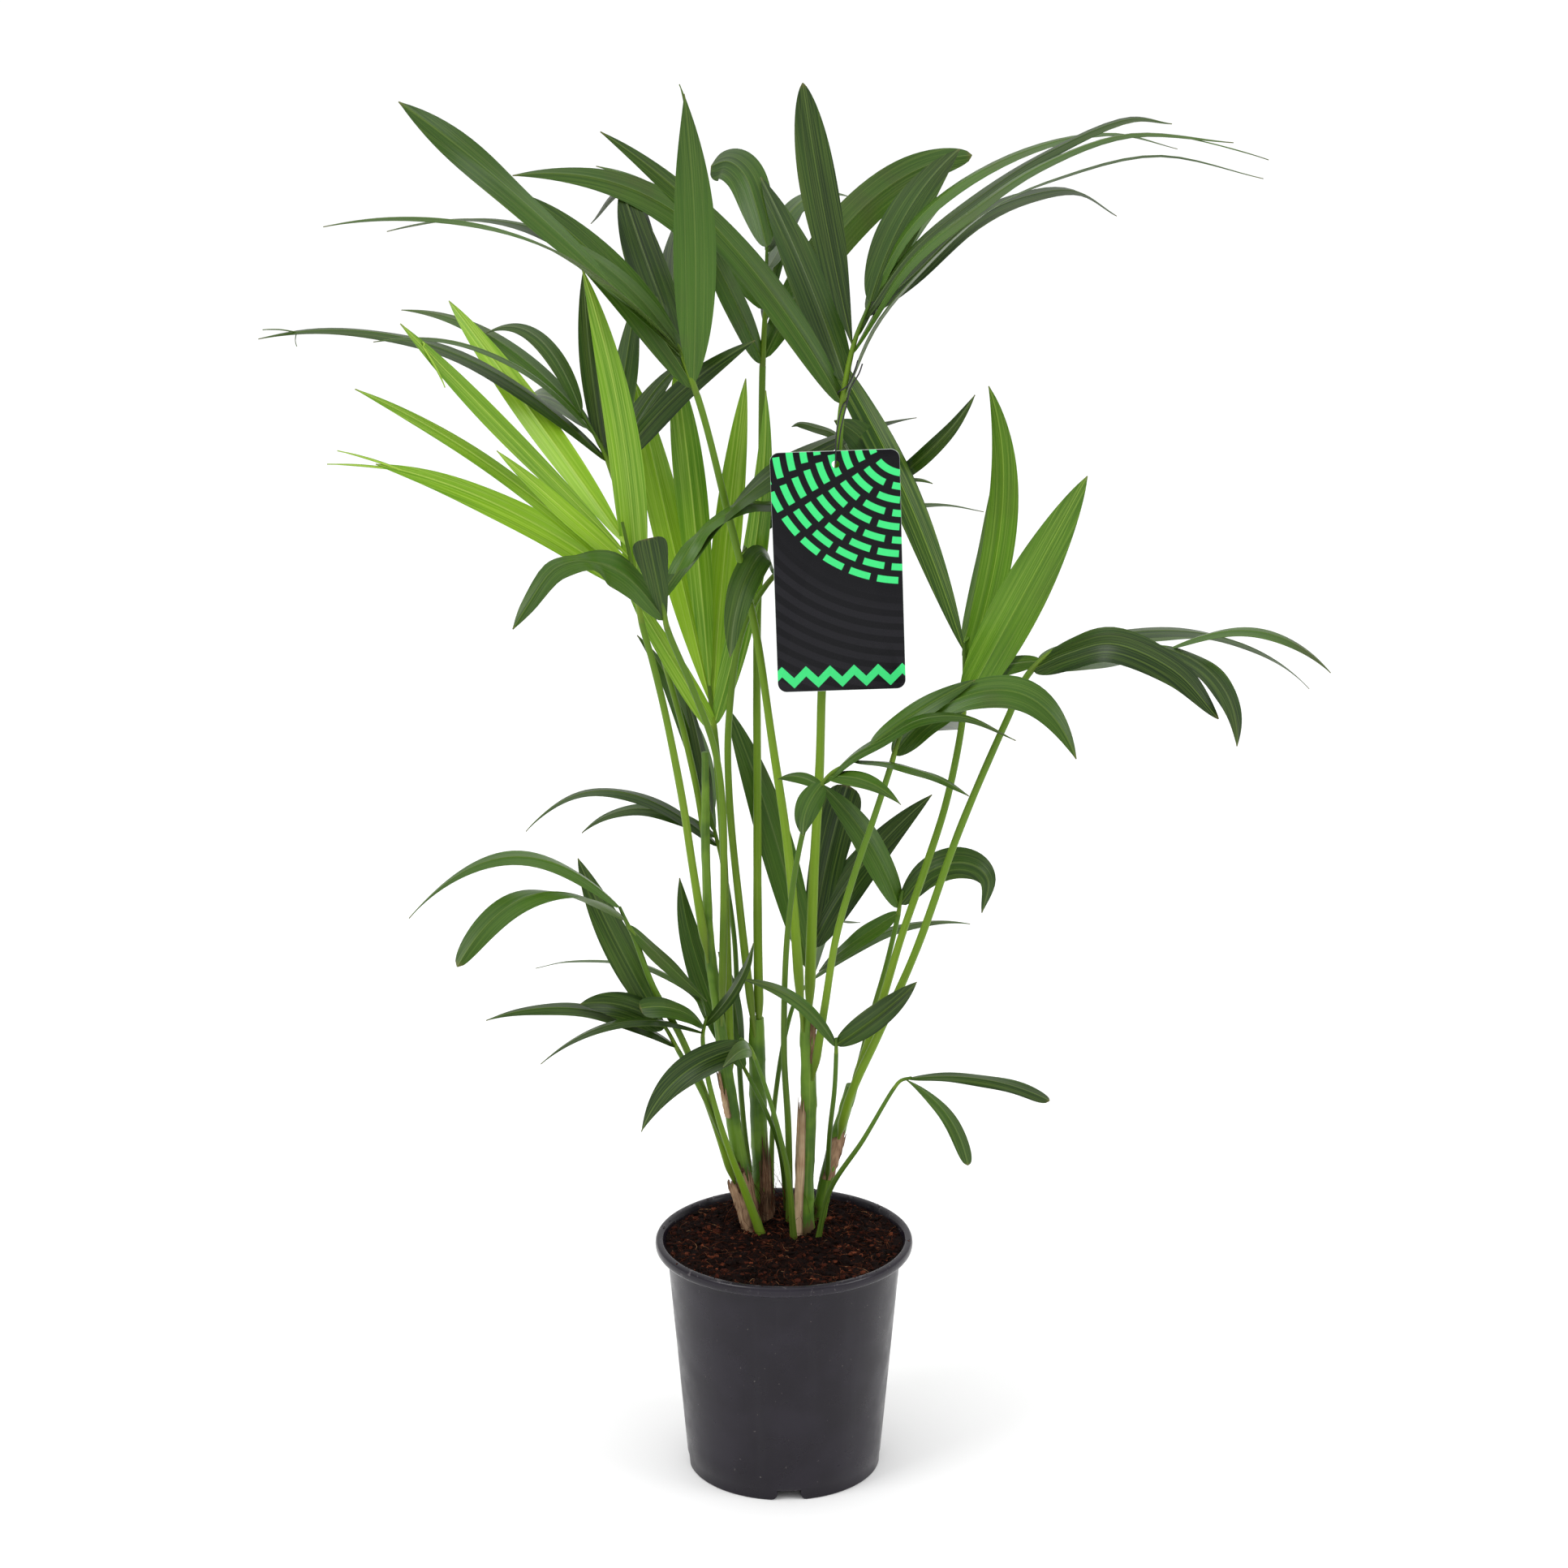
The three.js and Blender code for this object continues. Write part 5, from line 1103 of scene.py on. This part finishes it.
class Recipe:
    """A material's nodes. Every method returns the socket that carries its result."""

    def __init__(self, name, roughness, gloss):
        self.material = bpy.data.materials.new(name)
        self.material.use_nodes = True
        self.tree = self.material.node_tree
        self.surface = self.tree.nodes["Principled BSDF"]
        self.surface.inputs["Roughness"].default_value = roughness
        self.surface.inputs["Specular IOR Level"].default_value = gloss

    def node(self, kind, *inputs, **settings):
        """A node of a kind: its settings, and its inputs in order, each a number, a colour or a socket."""
        node = self.tree.nodes.new(kind)
        for key, value in settings.items():
            setattr(node, key, value)
        for number, value in enumerate(inputs):
            self.feed(node.inputs[number], value)
        return node

    def feed(self, socket, value):
        """Links a socket into an input, or sets the input to a plain value."""
        if isinstance(value, bpy.types.NodeSocket):
            self.tree.links.new(value, socket)
        elif value is not None:
            socket.default_value = value

    def value(self, name):
        """One of the piece's VALUES."""
        return self.node("ShaderNodeAttribute", attribute_name=name).outputs["Fac"]

    def spread(self):
        """The piece's own map: how far along, and how far across."""
        parts = self.node("ShaderNodeSeparateXYZ", self.node("ShaderNodeUVMap", uv_map="spread").outputs[0])
        return parts.outputs[0], parts.outputs[1]

    def place(self):
        """The point of the surface, in metres."""
        return self.node("ShaderNodeTexCoord").outputs["Object"]

    def math(self, operation, first, second=None):
        return self.node("ShaderNodeMath", first, second, operation=operation).outputs[0]

    def times(self, first, second):
        return self.math("MULTIPLY", first, second)

    def plus(self, first, second):
        return self.math("ADD", first, second)

    def less(self, first, second):
        return self.math("SUBTRACT", first, second)

    def size(self, value):
        return self.math("ABSOLUTE", value)

    def noise(self, vector, scale, detail=3.0, rough=0.5):
        node = self.node("ShaderNodeTexNoise")
        self.feed(node.inputs["Vector"], vector)
        node.inputs["Scale"].default_value = scale
        node.inputs["Detail"].default_value = detail
        node.inputs["Roughness"].default_value = rough
        return node.outputs["Fac"]

    def streaks(self, along_scale, across_scale, shift=0.0, detail=3.0):
        """Noise drawn out along the piece: its map, scaled by one number along it and another across."""
        along, across = self.spread()
        stretched = self.node("ShaderNodeCombineXYZ", self.times(along, along_scale),
                              self.times(across, across_scale), shift)
        return self.noise(stretched.outputs[0], 1.0, detail)

    def step(self, value, low, high, bottom=0.0, top=1.0):
        """An S-shaped step from bottom to top as the value goes from low to high."""
        node = self.node("ShaderNodeMapRange", value, low, high, bottom, top, interpolation_type="SMOOTHSTEP")
        return node.outputs[0]

    def mix(self, share, first, second):
        """The first colour, with a share of it replaced by the second."""
        node = self.tree.nodes.new("ShaderNodeMix")
        node.data_type = "RGBA"
        self.feed(node.inputs[0], share)
        self.feed(node.inputs[6], first)
        self.feed(node.inputs[7], second)
        return node.outputs[2]

    def ramp(self, value, *stops):
        """A colour that runs through the stops, each a place and a colour."""
        node = self.node("ShaderNodeValToRGB", value)
        elements = node.color_ramp.elements
        while len(elements) < len(stops):
            elements.new(0.5)
        for element, (place, colour) in zip(elements, stops):
            element.position = place
            element.color = colour
        return node.outputs[0]

    def bump(self, height, strength, distance):
        """Tilts the surface's shading after a pattern of heights."""
        node = self.node("ShaderNodeBump")
        node.inputs["Strength"].default_value = strength
        node.inputs["Distance"].default_value = distance
        self.feed(node.inputs["Height"], height)
        self.feed(self.surface.inputs["Normal"], node.outputs[0])

    def finish(self, colour, roughness=None):
        """Sets the surface's colour, and its roughness if that varies, and returns the material."""
        self.feed(self.surface.inputs["Base Color"], colour)
        if roughness is not None:
            self.feed(self.surface.inputs["Roughness"], roughness)
        return self.material


def leaf_material(name, deep, light, line, under, tired, roughness, gloss):
    """A leaf blade: streaks and fine veins along it, a paler midrib and side ribs, a duller underside.

    The map's second number is the distance from the midrib, so that a vein is a band of it.
    """
    recipe = Recipe(name, roughness, gloss)
    tint = recipe.value("tint")
    shift = recipe.times(tint, 40.0)
    fine = recipe.streaks(9.0, 1500.0, shift, 2.0)
    broad = recipe.streaks(6.0, 260.0, shift, 2.0)
    patch = recipe.noise(recipe.place(), 9.0, 2.0)
    blend = recipe.plus(recipe.times(tint, 0.55), recipe.times(patch, 0.5))
    blend = recipe.plus(blend, recipe.times(broad, 0.55))
    blend = recipe.step(blend, 0.35, 1.2)
    colour = recipe.mix(blend, deep, light)
    colour = recipe.mix(recipe.step(recipe.value("along"), 0.3, 1.0, 0.0, 0.4), colour, deep)
    colour = recipe.mix(recipe.step(fine, 0.42, 0.75, 0.0, 0.35), colour, line)
    colour = recipe.mix(recipe.step(fine, 0.2, 0.42, 0.30, 0.0), colour, deep)
    from_middle = recipe.size(recipe.spread()[1])
    middle = recipe.step(from_middle, 0.0002, 0.0006, 0.42, 0.0)
    across = recipe.size(recipe.value("across"))
    rib = recipe.size(recipe.less(across, 0.45))
    ribs = recipe.step(rib, 0.012, 0.05, 0.18, 0.0)
    colour = recipe.mix(recipe.math("MAXIMUM", middle, ribs), colour, line)
    worn = recipe.step(recipe.noise(recipe.place(), 16.0, 3.0), 0.5, 0.75, 0.0, 0.55)
    colour = recipe.mix(recipe.times(worn, tint), colour, tired)
    below = recipe.value("under")
    colour = recipe.mix(recipe.times(below, 0.5), colour, under)
    tip = recipe.step(recipe.value("along"), 0.97, 1.0)
    colour = recipe.mix(recipe.times(tip, 0.45), colour, tone(104, 92, 52))
    ridge = recipe.plus(recipe.times(fine, 0.5), middle)
    recipe.bump(recipe.plus(ridge, recipe.times(broad, 0.6)), 0.35, 0.0006)
    return recipe.finish(colour)


def stalk_material(name, end):
    """Leaf stalks: bright green, darker and browner towards the foot and turning to another green towards the
    end, with faint streaks along them."""
    recipe = Recipe(name, 0.42, 0.2)
    tint = recipe.value("tint")
    streak = recipe.streaks(14.0, 900.0, tint)
    patch = recipe.noise(recipe.place(), 22.0, 2.0)
    # A low tint, which thin stalks get, gives the darker green: partly the stalk's own colour, partly painted
    # shade from the crown above.
    blend = recipe.plus(recipe.times(patch, 0.5), recipe.times(tint, 0.8))
    colour = recipe.mix(recipe.step(blend, 0.15, 1.05), tone(40, 66, 16), tone(110, 142, 28))
    colour = recipe.mix(recipe.times(recipe.value("under"), 0.3), colour, tone(126, 156, 36))
    colour = recipe.mix(recipe.step(streak, 0.45, 0.75, 0.0, 0.22), colour, tone(150, 164, 72))
    foot = recipe.step(recipe.value("along"), 0.0, 0.14, 0.5, 0.0)
    colour = recipe.mix(foot, colour, tone(84, 100, 40))
    colour = recipe.mix(recipe.step(recipe.value("along"), 0.2, 0.9, 0.0, 0.7), colour, end)
    recipe.bump(streak, 0.25, 0.0004)
    return recipe.finish(colour)


def stem_material():
    """Stems: green sheaths with darker and yellower patches, brown and scarred towards the foot."""
    recipe = Recipe("stem_skin", 0.5, 0.3)
    tint = recipe.value("tint")
    streak = recipe.streaks(16.0, 700.0, tint)
    patch = recipe.noise(recipe.place(), 30.0, 3.0)
    colour = recipe.mix(recipe.step(patch, 0.35, 0.65), tone(62, 96, 20), tone(102, 138, 36))
    colour = recipe.mix(recipe.step(streak, 0.5, 0.8, 0.0, 0.4), colour, tone(142, 156, 70))
    scars = recipe.streaks(60.0, 160.0, tint, 4.0)
    low = recipe.step(recipe.value("along"), 0.02, 0.34, 0.20, -0.10)
    brown = recipe.step(recipe.plus(scars, low), 0.60, 0.72, 0.0, 0.85)
    colour = recipe.mix(brown, colour, tone(86, 62, 44))
    recipe.bump(recipe.plus(streak, scars), 0.35, 0.0007)
    return recipe.finish(colour)


def sheath_material():
    """Dry sheaths: papery, from dark brown to straw by tint, with fibres that run up them."""
    recipe = Recipe("dry_sheath", 0.7, 0.2)
    tint = recipe.value("tint")
    fibre = recipe.streaks(30.0, 1400.0, tint)
    patch = recipe.noise(recipe.place(), 70.0, 3.0)
    blend = recipe.plus(recipe.times(tint, 0.75), recipe.times(patch, 0.6))
    blend = recipe.less(blend, 0.3)
    colour = recipe.ramp(blend, (0.0, tone(52, 36, 26)), (0.35, tone(118, 88, 66)),
                         (0.65, tone(180, 148, 116)), (1.0, tone(226, 206, 168)))
    colour = recipe.mix(recipe.step(fibre, 0.5, 0.75, 0.0, 0.6), colour, tone(74, 52, 38))
    colour = recipe.mix(recipe.step(fibre, 0.25, 0.42, 0.45, 0.0), colour, tone(206, 184, 150))
    side = recipe.size(recipe.value("across"))
    rim = recipe.math("MAXIMUM", recipe.step(side, 0.72, 1.0), recipe.step(recipe.value("along"), 0.88, 1.0))
    colour = recipe.mix(recipe.times(rim, 0.6), colour, tone(72, 48, 34))
    recipe.bump(fibre, 0.6, 0.0006)
    return recipe.finish(colour)


def pot_material():
    """Nursery pot: satin charcoal plastic, with faint upright flow marks, a few specks and a scuffed rim."""
    recipe = Recipe("pot_plastic", 0.32, 0.26)
    flow = recipe.streaks(4.0, 60.0)
    cloud = recipe.noise(recipe.place(), 26.0, 4.0)
    colour = recipe.mix(recipe.step(cloud, 0.35, 0.7), tone(24, 20, 28), tone(32, 28, 37))
    colour = recipe.mix(recipe.step(flow, 0.5, 0.75, 0.0, 0.3), colour, tone(38, 36, 42))
    dust = recipe.noise(recipe.place(), 420.0, 2.0)
    colour = recipe.mix(recipe.step(dust, 0.745, 0.77, 0.0, 0.45), colour, tone(120, 114, 110))
    high = recipe.step(recipe.value("along"), 0.93, 0.98)
    scuff = recipe.noise(recipe.place(), 190.0, 5.0, 0.65)
    scuffed = recipe.times(high, recipe.step(scuff, 0.58, 0.72, 0.0, 0.5))
    colour = recipe.mix(scuffed, colour, tone(112, 106, 108))
    rough = recipe.step(recipe.noise(recipe.place(), 60.0, 4.0), 0.3, 0.7, 0.26, 0.38)
    rough = recipe.less(rough, recipe.times(high, 0.1))
    return recipe.finish(colour, rough)


def soil_material(name, stops):
    """Moist coir: each lump takes its colour from its tint and a cloudy pattern."""
    recipe = Recipe(name, 0.9, 0.08)
    cloud = recipe.noise(recipe.place(), 260.0, 4.0, 0.6)
    grain = recipe.noise(recipe.place(), 1500.0, 2.0)
    blend = recipe.plus(recipe.times(recipe.value("tint"), 0.8), recipe.times(cloud, 0.5))
    blend = recipe.less(blend, 0.15)
    colour = recipe.ramp(blend, *stops)
    recipe.bump(recipe.plus(cloud, grain), 0.6, 0.0012)
    return recipe.finish(colour)


def tag_material():
    """The card's print: rings of green dashes round its upper right corner, a zigzag at its foot, and faint
    grey rings below."""
    recipe = Recipe("tag_print", 0.28, 0.14)
    x, z = recipe.spread()
    ink = tone(12, 12, 16)
    green = tone(62, 214, 122)
    out = recipe.less(x, MM * (TAG_WIDE - TAG_HOLE_FROM_LEFT + 4))
    up = recipe.less(z, MM * (TAG_HOLE_FROM_TOP + 6))
    reach = recipe.math("SQRT", recipe.plus(recipe.times(out, out), recipe.times(up, up)))
    heading = recipe.math("ARCTAN2", up, out)
    rings = recipe.times(reach, 1 / (MM * TAG_RING_PITCH))
    ring = recipe.math("FLOOR", rings)
    band = recipe.size(recipe.less(recipe.math("FRACT", rings), 0.5))
    band = recipe.step(band, 0.24, 0.27, 1.0, 0.0)
    dashes = recipe.plus(recipe.times(recipe.times(heading, ring), 0.5), recipe.times(ring, 0.31))
    dash = recipe.size(recipe.less(recipe.math("FRACT", dashes), 0.5))
    dash = recipe.step(dash, 0.36, 0.38, 1.0, 0.0)
    inside = recipe.times(recipe.step(reach, 0.098, 0.099, 1.0, 0.0), recipe.step(reach, 0.018, 0.019))
    pattern = recipe.times(recipe.times(band, dash), inside)
    saw = recipe.math("PINGPONG", x, 0.008)
    zigzag = recipe.size(recipe.less(recipe.less(z, saw), -0.1470))
    zigzag = recipe.step(zigzag, 0.0034, 0.0036, 1.0, 0.0)
    faint = recipe.times(recipe.step(band, 0.3, 0.7), recipe.step(reach, 0.10, 0.12, 0.0, 0.5))
    colour = recipe.mix(faint, ink, tone(34, 33, 38))
    colour = recipe.mix(recipe.math("MAXIMUM", pattern, zigzag), colour, green)
    colour = recipe.mix(recipe.value("under"), colour, tone(190, 200, 194))
    wear = recipe.noise(recipe.place(), 120.0, 3.0)
    return recipe.finish(colour, recipe.step(wear, 0.3, 0.7, 0.24, 0.36))


def plain_material(name, colour, roughness, gloss):
    """One colour with a slight unevenness, for small or hidden parts."""
    recipe = Recipe(name, roughness, gloss)
    cloud = recipe.noise(recipe.place(), 90.0, 3.0)
    darker = tuple(part * 0.8 for part in colour[:3]) + (1.0,)
    return recipe.finish(recipe.mix(cloud, darker, colour))


# ---------------------------------------------------------------- assembly

mature = leaf_material(
    "leaf_mature", deep=tone(18, 38, 6), light=tone(60, 96, 18), line=tone(100, 122, 50),
    under=tone(80, 94, 52), tired=tone(66, 60, 40), roughness=0.34, gloss=0.24)
halfway = leaf_material(
    "leaf_halfway", deep=tone(24, 56, 2), light=tone(86, 130, 16), line=tone(144, 172, 70),
    under=tone(98, 128, 48), tired=tone(80, 104, 24), roughness=0.34, gloss=0.24)
fresh = leaf_material(
    "leaf_fresh", deep=tone(72, 120, 12), light=tone(146, 188, 38), line=tone(186, 210, 96),
    under=tone(128, 166, 58), tired=tone(110, 144, 32), roughness=0.34, gloss=0.24)
stalk_green = stalk_material("stalk_green", tone(74, 108, 26))
rib_green = stalk_material("rib_green", tone(52, 82, 26))

stem_skin = stem_material()

for name, row in STEMS.items():
    build_stem(name, row, stem_skin, len(name) * 3)
for number, (name, row) in enumerate(FRONDS.items()):
    build_stalk(name, row, stalk_green)
    blade = fresh if row["young"] > 0.8 else halfway if row["young"] else mature
    build_frond(name, row, blade, rib_green, 100 + number)

sheaths = Patchwork()
for number, row in enumerate(SHEATHS.values()):
    add_sheath(sheaths, row, 40 + number)
sheaths.piece("dry_sheaths", [sheath_material()], "stem", sharp=70)

build_pot(pot_material())
build_soil(soil_material("soil_dark", [
    (0.0, tone(8, 4, 4)), (0.4, tone(20, 9, 7)), (0.75, tone(42, 19, 12)), (1.0, tone(78, 40, 25))]))
soil_lumps = soil_material("soil_lumps", [
    (0.0, tone(8, 5, 4)), (0.4, tone(24, 11, 8)), (0.75, tone(66, 29, 18)), (1.0, tone(124, 66, 42))])
build_crumbs(soil_lumps, CRUMBS, 11)
soil_fibre = soil_material("soil_fibre", [
    (0.0, tone(18, 8, 6)), (0.5, tone(48, 21, 13)), (0.85, tone(104, 54, 32)), (1.0, tone(214, 172, 124))])
build_fibres(soil_fibre, FIBRES, 12)
build_tag(tag_material())
build_wire(plain_material("wire_black", tone(30, 30, 31), 0.45, 0.4))

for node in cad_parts.values():
    node.data.materials.clear()
    node.data.materials.append(stalk_green)

# ---------------------------------------------------------------- studio

HORIZON_BRIGHTNESS = 0.4
ZENITH_BRIGHTNESS = 1.5
BAND_FOOT = 0.10
BAND_TOP = 0.20
FLOOR_HALF = 40
VIEW_DIP = 16.27

floor_mesh = bpy.data.meshes.new("studio_floor")
corners = [(-FLOOR_HALF, -FLOOR_HALF, 0), (FLOOR_HALF, -FLOOR_HALF, 0), (FLOOR_HALF, FLOOR_HALF, 0),
           (-FLOOR_HALF, FLOOR_HALF, 0)]
floor_mesh.from_pydata(corners, [], [(0, 1, 2, 3)])
floor = bpy.data.objects.new("studio_floor", floor_mesh)
bpy.context.scene.collection.objects.link(floor)
paper = Recipe("studio_paper", 1.0, 0.0)
floor_mesh.materials.append(paper.finish((0.92, 0.92, 0.92, 1.0)))


def soft_light(name, place, size, watts):
    """A square area light that faces the middle of the plant."""
    data = bpy.data.lights.new(name, "AREA")
    data.size = size
    data.energy = watts
    light = bpy.data.objects.new(name, data)
    light.location = place
    aim = np.array([0, 0, 0.5]) - np.array(place)
    light.rotation_euler = (math.acos(-aim[2] / np.linalg.norm(aim)), 0, math.atan2(-aim[0], aim[1]))
    bpy.context.scene.collection.objects.link(light)


soft_light("key_light", (-2.6, -1.8, 3.2), 1.8, 60)
soft_light("fill_light", (3.0, -1.2, 2.0), 1.6, 30)

# The room is brightest overhead and darker towards the horizon, with a pale band where it meets the floor.
world = bpy.data.worlds.new("studio_world")
world.use_nodes = True
room = world.node_tree
heading = room.nodes.new("ShaderNodeTexCoord")
upward = room.nodes.new("ShaderNodeSeparateXYZ")
room.links.new(heading.outputs["Generated"], upward.inputs[0])
brightness = room.nodes.new("ShaderNodeMapRange")
room.links.new(upward.outputs[2], brightness.inputs["Value"])
brightness.inputs["To Min"].default_value = HORIZON_BRIGHTNESS
brightness.inputs["To Max"].default_value = ZENITH_BRIGHTNESS
band = room.nodes.new("ShaderNodeMapRange")
room.links.new(upward.outputs[2], band.inputs["Value"])
band.inputs["From Min"].default_value = BAND_FOOT
band.inputs["From Max"].default_value = BAND_TOP
band.inputs["To Min"].default_value = 1.0
band.inputs["To Max"].default_value = 0.0
brighter = room.nodes.new("ShaderNodeMath")
brighter.operation = "MAXIMUM"
room.links.new(brightness.outputs[0], brighter.inputs[0])
room.links.new(band.outputs[0], brighter.inputs[1])
room.links.new(brighter.outputs[0], room.nodes["Background"].inputs["Strength"])
room.nodes["Background"].inputs["Color"].default_value = (1, 1, 1, 1)
bpy.context.scene.world = world

camera_data = bpy.data.cameras.new("camera")
camera_data.lens = 85
camera_data.sensor_width = 36
camera_data.clip_end = 200
camera = bpy.data.objects.new("camera", camera_data)
camera.location = (0, -STANDPOINT_AHEAD * MM, STANDPOINT_HIGH * MM)
camera.rotation_euler = (math.radians(90 - VIEW_DIP), 0, 0)
bpy.context.scene.collection.objects.link(camera)
bpy.context.scene.camera = camera
bpy.context.scene.view_settings.view_transform = "Standard"
